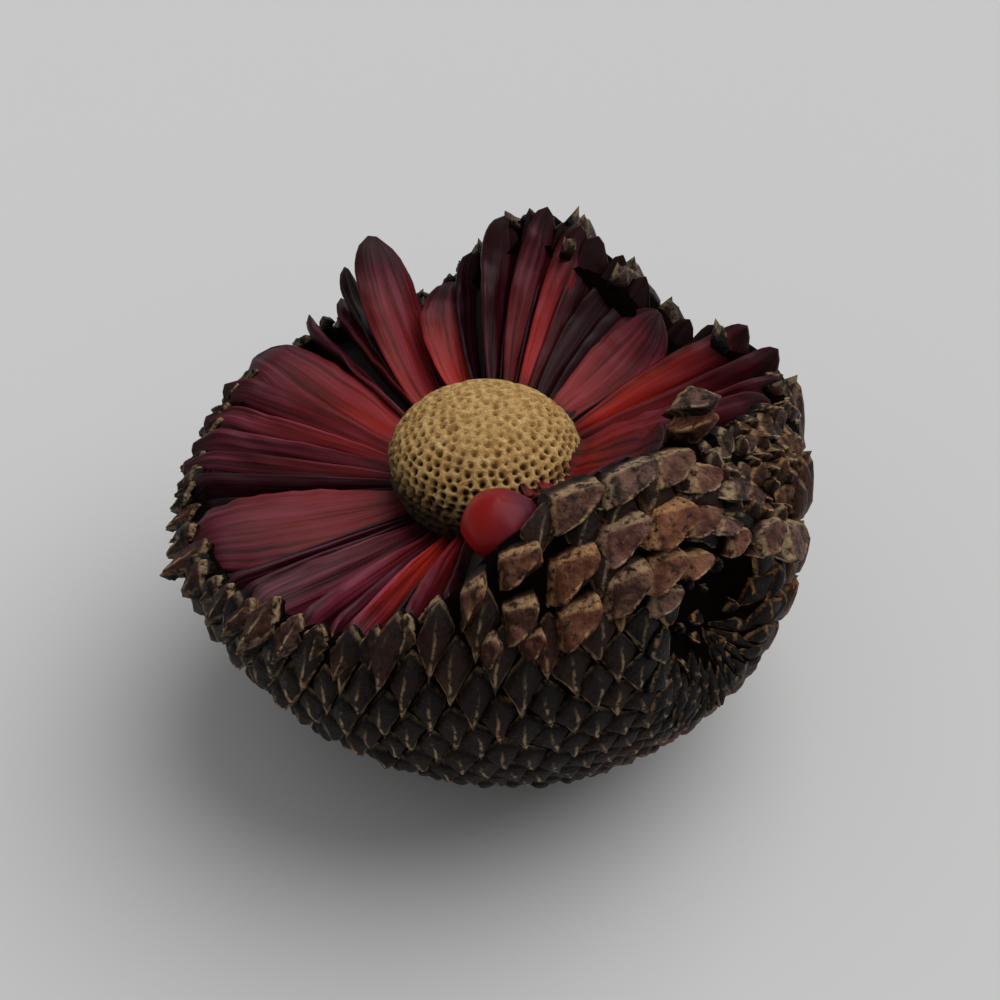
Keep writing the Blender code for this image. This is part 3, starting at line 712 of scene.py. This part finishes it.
fitted = node(cover, "GeometryNodeSetInstanceTransform", {
    "Instances": placed, "Transform": matrix.outputs[0],
}).outputs[0]
tone = node(cover, "FunctionNodeRandomValue", {"Seed": 9}, data_type="FLOAT").outputs[1]
toned = keep(cover, fitted, "tone", tone, "INSTANCE")
real = node(cover, "GeometryNodeRealizeInstances", {0: toned}).outputs[0]
place = node(cover, "GeometryNodeInputPosition").outputs[0]
rough = noise(cover, place, start.outputs["Roughness scale"], 4.0, 0.6)
centred = maths(cover, "SUBTRACT", rough, 0.5)
rough_mm = maths(cover, "MULTIPLY", centred, start.outputs["Roughness"])
rough_m = maths(cover, "MULTIPLY", rough_mm, 0.004)
facing = node(cover, "GeometryNodeInputNormal").outputs[0]
push = node(cover, "ShaderNodeVectorMath", {0: facing, "Scale": rough_m}, operation="SCALE").outputs[0]
worn = node(cover, "GeometryNodeSetPosition", {"Geometry": real, "Offset": push}).outputs["Geometry"]
# How far each face turns to the painted light; the material paints light and shade from it.
upward = node(cover, "ShaderNodeVectorMath", {0: facing, 1: PAINTED_LIGHT_FROM}, operation="DOT_PRODUCT").outputs["Value"]
worn = keep(cover, worn, "upward", upward)
split = node(cover, "ShaderNodeSeparateXYZ", {0: place})
kept_up = maths(cover, "MAXIMUM", split.outputs[2], start.outputs["Floor"])
level = node(cover, "ShaderNodeCombineXYZ", {0: split.outputs[0], 1: split.outputs[1], 2: kept_up}).outputs[0]
rested = node(cover, "GeometryNodeSetPosition", {"Geometry": worn, "Position": level}).outputs["Geometry"]
node(cover, "GeometryNodeSetMaterial", {"Geometry": rested, "Material": brown_tips})
cover.links.new(cover.nodes[-1].outputs[0], end.inputs[0])
grow(sites, cover)
sites.name = "brown_scale_tips"
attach(sites, "root")


# The tips along the broken rim: the large ones of the near wall with the two folded over it, thin plates on the
# back wall, and on the left the tips that the ends of the blades lie on. All are of the same brown wood.
for index, form in enumerate(list(forms.objects)):
    bpy.data.objects.remove(form, do_unlink=True)
    keel = 0.12 + 0.08 * (index % 3)
    forms.objects.link(scale_form(f"large_scale_form_{index}", 60 + index, 20, keel, beak=0.5))
BACK_RIM_RADIUS = 62.0
rim_middle, rim_long, rim_short, rim_out = [], [], [], []
pole = direction(*POLE_TO)
for az, el, long_right, long_up, short_right, short_up in NEAR_WALL:
    ray = direction(az, el)
    east = east_of(ray)
    north = np.cross(ray, east)
    rim_middle.append(ray * (body_reach(ray) + 0.1))
    rim_long.append((east * long_right + north * long_up) * 1.02)
    rim_short.append((east * short_right + north * short_up) * 1.02)
    leaning = ray + rng.normal(size=3) * 0.06
    rim_out.append(leaning * rng.uniform(0.72, 0.9) * math.hypot(long_right, long_up))
for place, long_part, short_part in FOLDED:
    rim_middle.append(np.array(place))
    rim_long.append(np.array(long_part))
    rim_short.append(np.array(short_part))
    rim_out.append(np.array(FOLDED_OUT))
# Plates along the top of the back wall.
az = 72.0
while az < 128:
    edge_ray = direction(az, float(rim_rise(az)) - 2.3)
    east = east_of(edge_ray)
    step = float(rng.uniform(3.0, 6.0))
    height = float(rng.uniform(1.8, 3.4))
    rim_middle.append(edge_ray * (float(body_reach(edge_ray)) - rng.uniform(1.2, 2.6)))
    north = np.cross(edge_ray, east)
    rim_long.append((north + east * rng.normal() * 0.3 + edge_ray * rng.uniform(-0.2, 0.4)) * height)
    rim_short.append((east + edge_ray * rng.normal() * 0.35) * step * 0.6)
    rim_out.append(edge_ray * rng.uniform(1.0, 1.7))
    az += math.degrees(step / BACK_RIM_RADIUS)
# Tips under the ends of the blades, round the left to the front.
while az < 266:
    front = 190 < az
    step = float(rng.uniform(5.5, 8.5) if front else rng.uniform(4.4, 6.8))
    ray = direction(az, 0.0)
    out = ray * rng.uniform(0.6, 1.0) + np.array([0, 0, rng.uniform(0.45, 0.8)]) + rng.normal(size=3) * 0.16
    across = np.cross((0, 0, 1.0), ray)
    keel = np.cross(out, across)
    keel *= -np.sign(keel[2]) / np.linalg.norm(keel)
    on_top = float(rim_radius(az)) + rng.uniform(-0.4, 0.8)
    low = rng.uniform(2.4, 4.4) if front else rng.uniform(4.0, 6.0)
    rim_middle.append(ray * on_top + np.array([0, 0, float(bowl_line(az, on_top)) - low]))
    rim_long.append(keel * step * rng.uniform(0.75, 1.1))
    rim_short.append(across * step * 0.56)
    rim_out.append(out * (2.4 if front else 2.0) * rng.uniform(0.8, 1.2))
    az += math.degrees(step / on_top)
rim_tips = new_mesh("rim_sites", np.array(rim_middle))
# Painted shade: the plates on the back wall and the tips under the blades are darkened in the material, those at
# the back most.
rim_shade = np.where(np.arange(len(rim_middle)) < len(NEAR_WALL) + len(FOLDED), 0.0, 0.6)
rim_shade[(np.array(rim_middle)[:, 1] > 0) & (rim_shade > 0)] = 1.0
store(rim_tips, "shade", rim_shade)
store(rim_tips, "warm", np.clip(rng.normal(size=len(rim_middle)) * 0.25 + 0.1, 0, 1))
store(rim_tips, "long_half", np.array(rim_long) * 0.001)
store(rim_tips, "short_half", np.array(rim_short) * 0.001)
store(rim_tips, "out", np.array(rim_out) * 0.001)
grow(rim_tips, cover, {"Roughness": 0.55, "Roughness scale": 320.0})
rim_tips.name = "rim_scale_tips"
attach(rim_tips, "root")
for form in list(forms.objects):
    bpy.data.objects.remove(form, do_unlink=True)


# The lining of the bowl: the pressed-together inner parts of the scales, below the blades that stand free. It
# is the same maroon wood, seen only as dark depth.
# Very dark maroon with a dull surface: painted shade, so it reads as the depth between two blades.
lining_wood, tree, shader, mm = new_material("maroon_painted_shade_depth")
shade = noise(tree, mm, 0.25, 4.0)
dark = blend(shade, "050203", "14070A")
tree.links.new(dark, shader.inputs["Base Color"])
shader.inputs["Roughness"].default_value = 0.75

ring = direction(turns, 0.0)
loops = []
for index, part in enumerate(np.linspace(0, 1, 12)):
    radius = (AXIS_RADIUS - 3) + (inside - 0.6 - AXIS_RADIUS + 3) * part
    below_blades = bowl_line(turns, radius) - BLADE_RISE - 1.0
    loops.append(ring * radius[:, None] + np.stack([0 * turns, 0 * turns, below_blades], axis=-1))
edge_low = loops[-1] - np.array([0, 0, 6.0])
loops += [edge_low, ring * 18.0 + np.array([0, 0, -AXIS_BOTTOM - 4])]
points = np.concatenate(loops + [ring * 18.0 + np.array([0, 0, -AXIS_BOTTOM + 2.0])])
total = len(loops) + 1
faces = []
for loop in range(total):
    after = (loop + 1) % total
    for i in range(ROUND):
        j = (i + 1) % ROUND
        faces.append((loop * ROUND + i, loop * ROUND + j, after * ROUND + j, after * ROUND + i))
lining = new_mesh("bowl_lining", points, faces)
face_outwards(lining.data)
cover_smoothly(lining, lining_wood)
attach(lining, "root")


# The blades: the flat woody inner parts of the seed scales, which the broken upper side has laid open. They run
# from the axis to the rim, thin and narrow inside, broad outside, grained along their length and curled as they
# dried. Each: direction, lean (0 flat, 90 upright), half width, thickness, rise at the rim, how far short of the
# others it ends, warmth of its colour, and its darkness, which is partly its own colour and partly painted
# shade for the grooves between blades.
BLADES = [
    (141, -14, 10.5, 4.0, 1.0, 0, 0.8, 0.2), (151, 48, 6.5, 5.5, 0.8, 0, 0.3, 0.0),
    (158, 50, 6.5, 5.5, 0.4, 0, 0.4, 0.0), (164.5, 46, 6.5, 5.0, 0.8, 0, 0.1, 0.0),
    (170.5, 52, 6.0, 4.5, 0.4, 0, 0.2, 0.0), (175.5, 70, 6.0, 4.0, 0.0, 0, 0.0, 0.5),
    (-179, 60, 6.0, 3.0, -4.0, 0, 0.0, 0.9), (-166, 20, 11.0, 4.6, 0.4, 2, 0.5, 0.25),
    (-153, 76, 6.0, 2.8, -2.0, 2, 0.0, 0.7), (-149, 74, 6.0, 2.8, -0.2, 2, 0.0, 0.4),
    (-144.5, 70, 6.0, 3.0, -1.0, 3, 0.0, 0.5), (-137.5, 46, 7.0, 4.2, 0.6, 3, 0.1, 0.0),
    (-130.5, 78, 6.0, 3.0, -1.5, 2, 0.0, 0.7), (-126, 68, 6.5, 4.4, 0.6, 2, 0.2, 0.0),
    (-120, 72, 6.5, 3.8, -0.4, 2, 0.0, 0.3), (-114.5, 56, 6.5, 4.0, 0.8, 2, 1.0, 0.0),
    (-109, 78, 6.5, 3.0, -1.5, 2, 0.0, 0.8), (-103.5, 60, 7.0, 4.2, 0.4, 3, 0.4, 0.1),
    (-97, 76, 6.5, 3.2, -1.0, 2, 0.1, 0.7), (-74, 60, 9.0, 4.0, -3.0, 5, 0.4, 0.3),
    (-63, 44, 10.0, 4.0, 0.0, 5, 0.5, 0.2), (-52, 36, 11.0, 4.0, 1.0, 2, 0.4, 0.2),
    (-41, 34, 11.0, 4.0, 1.5, 2, 0.5, 0.1), (-30, 30, 12.0, 4.0, 2.0, 2, 0.5, 0.0),
    (-18, 24, 12.0, 4.0, 3.0, 4, 0.6, 0.1), (-7, 24, 11.0, 4.0, 2.0, 5, 0.5, 0.25),
    (4, 52, 9.0, 4.0, -0.4, 0, 0.4, 0.3), (10.5, 64, 9.0, 4.0, 0.5, 0, 0.3, 0.1),
    (17.5, 66, 10.0, 4.6, 2.0, 0, 0.3, 0.0), (26, 60, 11.0, 5.4, 0.6, 0, 1.0, 0.0),
    (33, 72, 8.0, 3.0, -2.0, 0, 0.0, 0.9), (38.5, 54, 8.0, 3.4, -0.8, 0, 0.1, 0.7),
    (44, 30, 9.5, 4.4, 1.5, 5, 0.5, 0.0), (50, 66, 8.5, 3.4, -1.0, 0, 0.0, 0.85),
    (56, 54, 8.0, 3.4, -0.8, 0, 0.1, 0.8), (61.5, 58, 8.0, 4.2, -0.4, 0, 0.3, 0.7),
    (66.5, 54, 8.0, 4.4, -0.2, 0, 0.9, 0.1), (71, 76, 8.5, 3.0, -3.0, 0, 0.0, 0.8),
    (75, 52, 8.5, 5.2, 0.4, 0, 0.3, 0.25), (80, 78, 8.5, 3.0, -3.0, 0, 0.0, 0.8),
    (84.5, 52, 8.5, 5.0, -0.2, 0, 0.1, 0.5), (89, 78, 7.5, 3.0, -4.0, 0, 0.0, 0.9),
    (93.5, 56, 7.5, 4.0, -2.0, 2, 0.0, 0.7), (97.5, 16, 11.5, 4.4, -1.5, 5, 1.0, 0.0),
    (107, 66, 6.5, 3.0, -2.5, 6, 0.3, 0.6), (121, 64, 7.5, 4.4, 0.6, 0, 0.3, 0.1),
    (127.5, 62, 7.5, 5.0, 0.6, 0, 0.1, 0.0), (133, 72, 6.5, 3.0, -1.5, 0, 0.1, 0.6),
]
FINGER_TO = 114.0
FINGER_LIFT = 21.0
STATIONS = 36
# Half height of the round dome that the blades' roots run into.
DOME_HALF = 17


def blade_path(azimuth, lean, half_width, thickness, rise, short=0.0, lift=0.0, twist=0.0, sink=0.0):
    """Middle line of a blade with the vectors across it and through it at each station."""
    back, free = 14 < azimuth < 128, azimuth > 128 or azimuth < -90
    # At the back the blades stand over the wall, and on the left their ends curl down over it.
    past_rim = 2.8 if 28 < azimuth < 68 else 1.2 if back else 2.6 if free else 0.8
    curl = 0.9 + max(0.0, -rise) if back else -3.0 if free else 0.0
    outer = float(rim_radius(azimuth)) + past_rim - short
    root = float(np.interp(azimuth, ROOT_TO, ROOT_HEIGHT, period=360))
    inner = AXIS_RADIUS * math.sqrt(1 - (root / DOME_HALF) ** 2) - 3.0
    along = np.linspace(0, 1, STATIONS)
    radius = inner + (outer - inner) * along
    bend = rng.uniform(-1.8, 1.8)
    az = azimuth + bend * np.sin(rng.uniform(0, 6.28) + 3.5 * along) * along * (1 - 0.5 * along)
    radial = direction(az, 0.0)
    tangent = np.stack([-radial[:, 1], radial[:, 0], 0 * along], axis=1)
    side = np.sign(float(pole @ tangent[STATIONS // 2]))
    tilt = np.radians(lean + twist * along + 8 * np.sin(4 * along + rng.uniform(0, 6.28)) * along)
    up = np.array([0.0, 0.0, 1.0])
    across = np.cos(tilt)[:, None] * tangent - side * np.sin(tilt)[:, None] * up
    blunt = np.sqrt(np.clip(1 - (np.clip(along - 0.86, 0, 1) / 0.142) ** 2, 0.01, 1))
    petal = 1 - 0.25 * smooth(along, 0.7, 1.0) * (abs(lean) < 45)
    base = 0.5 if -70 < azimuth < 0 else 0.18
    broad = base + (1 - base) * np.sin(np.pi / 2 * np.clip(along / 0.72, 0, 1)) ** 0.9
    width = half_width * broad * blunt * petal
    thick = thickness * (0.3 + 0.7 * along ** 1.2) / 2 * blunt
    middle = radial * radius[:, None]
    middle[:, 2] = bowl_line(az, radius) + rise * along + curl * smooth(along, 0.86, 1.0) + lift * along ** 1.9
    middle[:, 2] -= width * np.abs(np.sin(tilt)) * 0.92 + sink
    forward = np.gradient(middle, axis=0)
    forward /= np.linalg.norm(forward, axis=1)[:, None]
    face = np.cross(across, forward)
    face *= np.sign(face[:, 2:] + 1e-9) / np.linalg.norm(face, axis=1)[:, None]
    return middle, across * width[:, None], face * thick[:, None], along


paths = []
for az, lean, half_width, thickness, rise, short, _, dark in BLADES:
    paths.append(blade_path(az, lean, half_width, thickness, rise - 2.0 * (dark >= 0.6), short))
# The loosened wedge that stands up behind the axis, and the one it has come away from.
paths.append(blade_path(FINGER_TO, 10, 9.5, 5.0, 0.0, lift=FINGER_LIFT, twist=20, sink=2.5))
paths.append(blade_path(FINGER_TO + 5, 50, 7.0, 4.0, 0.0, lift=FINGER_LIFT * 0.6, sink=2.0))
finger_width = 1 + 0.12 * smooth(paths[-2][3], 0.82, 0.97)
paths[-2] = (paths[-2][0], paths[-2][1] * finger_width[:, None], paths[-2][2], paths[-2][3])
warmth = [row[6] for row in BLADES] + [0.7, 0.0]
darkness_and_shade = [row[7] for row in BLADES] + [0.0, 0.85]

# Satin maroon wood with a soft sheen. Its streaks run along a blade and are 1 to 2 mm wide, and the clouds of
# colour are about 11 mm across. The real fibres are finer than the photo shows, so they are drawn coarser.
maroon, tree, shader, mm = new_material("maroon_scale_wood")
grain_at = node(tree, "ShaderNodeCombineXYZ", {
    0: times(reading("lane"), 5.0), 1: times(reading("along"), 1.1), 2: times(reading("tone"), 37.0),
}).outputs[0]
streaks = noise(tree, grain_at, 1.0, 4.0, 0.55)
clouds = noise(tree, mm, 0.09, 3.0)
own = blend(clouds, "260510", "420915")
# Broad dusky streaks run along it.
wide_at = node(tree, "ShaderNodeCombineXYZ", {
    0: times(reading("lane"), 1.7), 1: times(reading("along"), 0.9), 2: times(reading("tone"), 61.0),
}).outputs[0]
wide = noise(tree, wide_at, 1.0, 3.0)
own = blend(times(spread(wide, 0.5, 0.36), 0.7), own, "180C14")
# Towards the axis the wood flushes orange-red, more on some blades.
own = blend(times(spread(reading("along"), 0.95, 0.3), reading("warmth")), own, "A82614")
# Pale streaks along the grain where it faces up, painted in as a sheen, dark ones in its furrows, and painted
# shade where it faces down.
lit = spread(reading("upward"), 0.1, 0.8)
own = blend(times(times(spread(streaks, 0.46, 0.7), 0.6), lit), own, "8E3A50")
own = blend(times(spread(streaks, 0.48, 0.33), 0.8), own, "22060F")
own = blend(spread(reading("upward"), 0.15, -0.35, 0.0, 0.7), own, "1C040C")
# Each blade's darkness: partly its own colour, partly painted shade between the blades.
own = blend(reading("darkness_and_shade"), own, "120306")
# Down at the axis it is painted dark, a painted shade at the foot of the dome. The outer end is brown, with a few
# worn points.
own = blend(spread(reading("along"), 0.2, 0.03, 0.0, 0.85), own, "0A0304")
own = blend(spread(reading("along"), 0.88, 0.98, 0.0, 0.75), own, "22100E")
points = times(spread(reading("along"), 0.93, 0.98), spread(streaks, 0.44, 0.56))
own = blend(times(points, reading("pointed")), own, "B0743A")
tree.links.new(own, shader.inputs["Base Color"])
shader.inputs["Roughness"].default_value = 0.4
shader.inputs["Specular IOR Level"].default_value = 0.14
bump = node(tree, "ShaderNodeBump", {"Height": streaks, "Strength": 0.45, "Distance": 0.0008})
tree.links.new(bump.outputs[0], shader.inputs["Normal"])

lines = new_mesh("blade_lines", np.concatenate([p[0] for p in paths]), edges=[
    (k * STATIONS + i, k * STATIONS + i + 1) for k in range(len(paths)) for i in range(STATIONS - 1)
])
store(lines, "across", np.concatenate([p[1] for p in paths]) * 0.001)
store(lines, "face", np.concatenate([p[2] for p in paths]) * 0.001)
store(lines, "along", np.concatenate([p[3] for p in paths]))
store(lines, "tone", np.repeat(rng.uniform(0, 1, len(paths)), STATIONS))
store(lines, "warmth", np.repeat(warmth, STATIONS))
store(lines, "darkness_and_shade", np.repeat(darkness_and_shade, STATIONS))
store(lines, "pointed", np.repeat([float(-160 < row[0] < -90) for row in BLADES] + [0.0, 0.0], STATIONS))
store(lines, "middle", metres(np.concatenate([p[0] for p in paths])))

# An oval swept along each line, then moved to its width and thickness, with grain in relief and wavy edges.
sweep, start, end = new_tree("scale_blades", {"Grain height": 2.0, "Edge ruffle": 0.3})
curves = node(sweep, "GeometryNodeMeshToCurve", {0: start.outputs["Geometry"]}).outputs[0]
circle = node(sweep, "GeometryNodeCurvePrimitiveCircle", {"Resolution": 26, "Radius": 1.0}).outputs[0]
section_place = node(sweep, "ShaderNodeSeparateXYZ", {0: node(sweep, "GeometryNodeInputPosition").outputs[0]})
section = circle
for title, output, power in (("lane", 0, 0.85), ("through", 1, 0.7)):
    side = section_place.outputs[output]
    fuller = maths(sweep, "POWER", maths(sweep, "ABSOLUTE", side), power)
    signed = maths(sweep, "MULTIPLY", fuller, maths(sweep, "SIGN", side))
    section = keep(sweep, section, title, signed)
swept = node(sweep, "GeometryNodeCurveToMesh", {
    "Curve": curves, "Profile Curve": section, "Fill Caps": True,
}).outputs[0]
named = {
    name: node(sweep, "GeometryNodeInputNamedAttribute", {"Name": name}, data_type=kind).outputs["Attribute"]
    for name, kind in (("across", "FLOAT_VECTOR"), ("face", "FLOAT_VECTOR"), ("middle", "FLOAT_VECTOR"),
                       ("along", "FLOAT"), ("lane", "FLOAT"), ("through", "FLOAT"), ("tone", "FLOAT"))
}
lane_in = maths(sweep, "MULTIPLY", named["lane"], 5.5)
along_in = maths(sweep, "MULTIPLY", named["along"], 2.4)
tone_in = maths(sweep, "MULTIPLY", named["tone"], 53.0)
grain_at = node(sweep, "ShaderNodeCombineXYZ", {0: lane_in, 1: along_in, 2: tone_in}).outputs[0]
grain = noise(sweep, grain_at, 1.0, 3.0)
grain_mid = maths(sweep, "SUBTRACT", grain, 0.5)
ruffle_along = maths(sweep, "MULTIPLY", named["along"], 4.5)
ruffle_at = node(sweep, "ShaderNodeCombineXYZ", {0: named["lane"], 1: ruffle_along, 2: tone_in}).outputs[0]
ruffle = noise(sweep, ruffle_at, 1.0, 2.0)
ruffle_mid = maths(sweep, "SUBTRACT", ruffle, 0.5)
lane_square = maths(sweep, "MULTIPLY", named["lane"], named["lane"])
thin_edge = maths(sweep, "MULTIPLY_ADD", lane_square, -0.2, 1.0)
grained = maths(sweep, "MULTIPLY_ADD", grain_mid, start.outputs["Grain height"], 1.0)
through = maths(sweep, "MULTIPLY", named["through"], thin_edge)
through_grain = maths(sweep, "MULTIPLY", through, grained)
edge_bend = maths(sweep, "MULTIPLY", lane_square, ruffle_mid)
edge_bend_out = maths(sweep, "MULTIPLY", edge_bend, named["along"])
edge_bend_more = maths(sweep, "MULTIPLY", edge_bend_out, 4.0)
depth_part = maths(sweep, "ADD", through_grain, edge_bend_more)
edge_wave = maths(sweep, "MULTIPLY", ruffle_mid, start.outputs["Edge ruffle"])
lane_out = maths(sweep, "ADD", edge_wave, 1.0)
lane_part = maths(sweep, "MULTIPLY", named["lane"], lane_out)
sideways = node(sweep, "ShaderNodeVectorMath", {0: named["across"], "Scale": lane_part}, operation="SCALE")
inwards = node(sweep, "ShaderNodeVectorMath", {0: named["face"], "Scale": depth_part}, operation="SCALE")
offset = node(sweep, "ShaderNodeVectorMath", {0: sideways.outputs[0], 1: inwards.outputs[0]}, operation="ADD")
target = node(sweep, "ShaderNodeVectorMath", {0: named["middle"], 1: offset.outputs[0]}, operation="ADD")
shaped = node(sweep, "GeometryNodeSetPosition", {
    "Geometry": swept, "Position": target.outputs[0],
}).outputs["Geometry"]
# How far each face turns to the painted light; the material paints light and shade from it.
facing = node(sweep, "GeometryNodeInputNormal").outputs[0]
upward = node(sweep, "ShaderNodeVectorMath", {0: facing, 1: PAINTED_LIGHT_FROM}, operation="DOT_PRODUCT").outputs["Value"]
toned = keep(sweep, shaped, "upward", upward)
real = node(sweep, "GeometryNodeRealizeInstances", {0: toned}).outputs[0]
node(sweep, "GeometryNodeSetMaterial", {"Geometry": real, "Material": maroon})
sweep.links.new(sweep.nodes[-1].outputs[0], end.inputs[0])
grow(lines, sweep)
lines.name = "maroon_blades"
face_outwards(lines.data)
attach(lines, "root")
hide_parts("inner_scales")


# The plump wedge: a scale still full with its seed, so its inner part has swollen to a smooth, faintly ribbed
# red nut that stands proud in front of the axis. It is orange-red on the left and dusky wine red to the right.
PLUMP_TO = -85.0
PLUMP_AT = (42.0, 15.0)
PLUMP_SIZE = (10.0, 9.6, 9.2)
# Smooth skin with a soft satin light on it, in clouds about 8 mm across.
plump_skin, tree, shader, mm = new_material("satin_red_scale")
shift = node(tree, "ShaderNodeVectorMath", {0: mm, 1: tuple(AXIS_AT)}, operation="SUBTRACT").outputs[0]
sideways = node(tree, "ShaderNodeSeparateXYZ", {0: shift}).outputs[0]
cloud = noise(tree, mm, 0.12, 4.0)
mixed = maths(tree, "MULTIPLY_ADD", cloud, 9.0, sideways)
skin = blend(spread(mixed, 2.0, 14.0), "841008", "521626")
tree.links.new(skin, shader.inputs["Base Color"])
shader.inputs["Roughness"].default_value = 0.36
shader.inputs["Specular IOR Level"].default_value = 0.12
radial = direction(PLUMP_TO, 0.0)
tangent = np.array([-radial[1], radial[0], 0.0])
bm = bmesh.new()
bmesh.ops.create_icosphere(bm, subdivisions=5, radius=1.0)
ball = np.array([v.co for v in bm.verts])
ball_faces = [[v.index for v in f.verts] for f in bm.faces]
bm.free()
turn = np.arctan2(ball[:, 1], ball[:, 0])
swollen = 1 + 0.02 * np.sin(7 * turn) * (1 - ball[:, 2] ** 2) + 0.05 * np.sin(3 * ball[:, 2] + turn)
low_part = np.clip(-ball[:, 2], 0, 1)
ball = ball * swollen[:, None]
points = (
    radial * (PLUMP_AT[0] + ball[:, :1] * PLUMP_SIZE[0] * (1 - 0.3 * low_part[:, None]))
    + tangent * ball[:, 1:2] * PLUMP_SIZE[1] * (1 - 0.35 * low_part[:, None])
    + np.array([0, 0, 1.0]) * (PLUMP_AT[1] + ball[:, 2:] * PLUMP_SIZE[2])
)
plump = new_mesh("plump_scale", points, ball_faces)
cover_smoothly(plump, plump_skin)
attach(plump, "root")


# The floor: a plain pale sheet, far larger than the cone.
# Matt light grey, with no pattern of its own.
floor_paint, tree, shader, mm = new_material("pale_matt_floor")
shader.inputs["Base Color"].default_value = colour("C6C6C6")
shader.inputs["Roughness"].default_value = 0.9
shader.inputs["Specular IOR Level"].default_value = 0.1
mesh = bpy.data.meshes.new("floor")
corners = [(-4, -4, -0.0002), (4, -4, -0.0002), (4, 4, -0.0002), (-4, 4, -0.0002)]
mesh.from_pydata(corners, [], [(0, 1, 2, 3)])
floor = bpy.data.objects.new("floor", mesh)
bpy.context.scene.collection.objects.link(floor)
floor.data.materials.append(floor_paint)


# The camera: an 85 mm lens, 0.6 m away and 42 degrees above the floor, with the cone's body a little left of
# the middle. BODY_PIXEL is where the middle of the body comes in a frame of 1000, PIXEL one of them in metres.
CAMERA_RISE = 42.0
CAMERA_AWAY = 0.6
BODY_PIXEL = (486.0, 520.0)
PIXEL = 0.0002542
rise = math.radians(CAMERA_RISE)
right = Vector((1, 0, 0))
upward = Vector((0, math.sin(rise), math.cos(rise)))
backward = Vector((0, -math.cos(rise), math.sin(rise)))
body_middle = Vector(metres(-BODY_BELOW_AXIS))
aim = body_middle + right * (500 - BODY_PIXEL[0]) * PIXEL + upward * (BODY_PIXEL[1] - 500) * PIXEL
lens = bpy.data.cameras.new("camera")
lens.lens = 85
camera = bpy.data.objects.new("camera", lens)
facing = backward.to_track_quat("Z", "Y").to_matrix().to_4x4()
camera.matrix_world = Matrix.Translation(aim + backward * CAMERA_AWAY) @ facing
bpy.context.scene.collection.objects.link(camera)
bpy.context.scene.camera = camera


# The light: one broad soft source from the upper right and behind, far enough to light the floor evenly, and a
# weak even sky that leaves the front of the cone in shade.
key = bpy.data.lights.new("key", "SUN")
key.energy = 2.25
key.angle = math.radians(70)
light = bpy.data.objects.new("key", key)
light.rotation_euler = Vector((0.48, 0.27, 0.83)).to_track_quat("Z", "Y").to_euler()
bpy.context.scene.collection.objects.link(light)
world = bpy.data.worlds.new("even_sky")
world.use_nodes = True
world.node_tree.nodes["Background"].inputs[0].default_value = (1, 1, 1, 1)
world.node_tree.nodes["Background"].inputs[1].default_value = 0.42
bpy.context.scene.world = world
bpy.context.scene.view_settings.view_transform = "Standard"
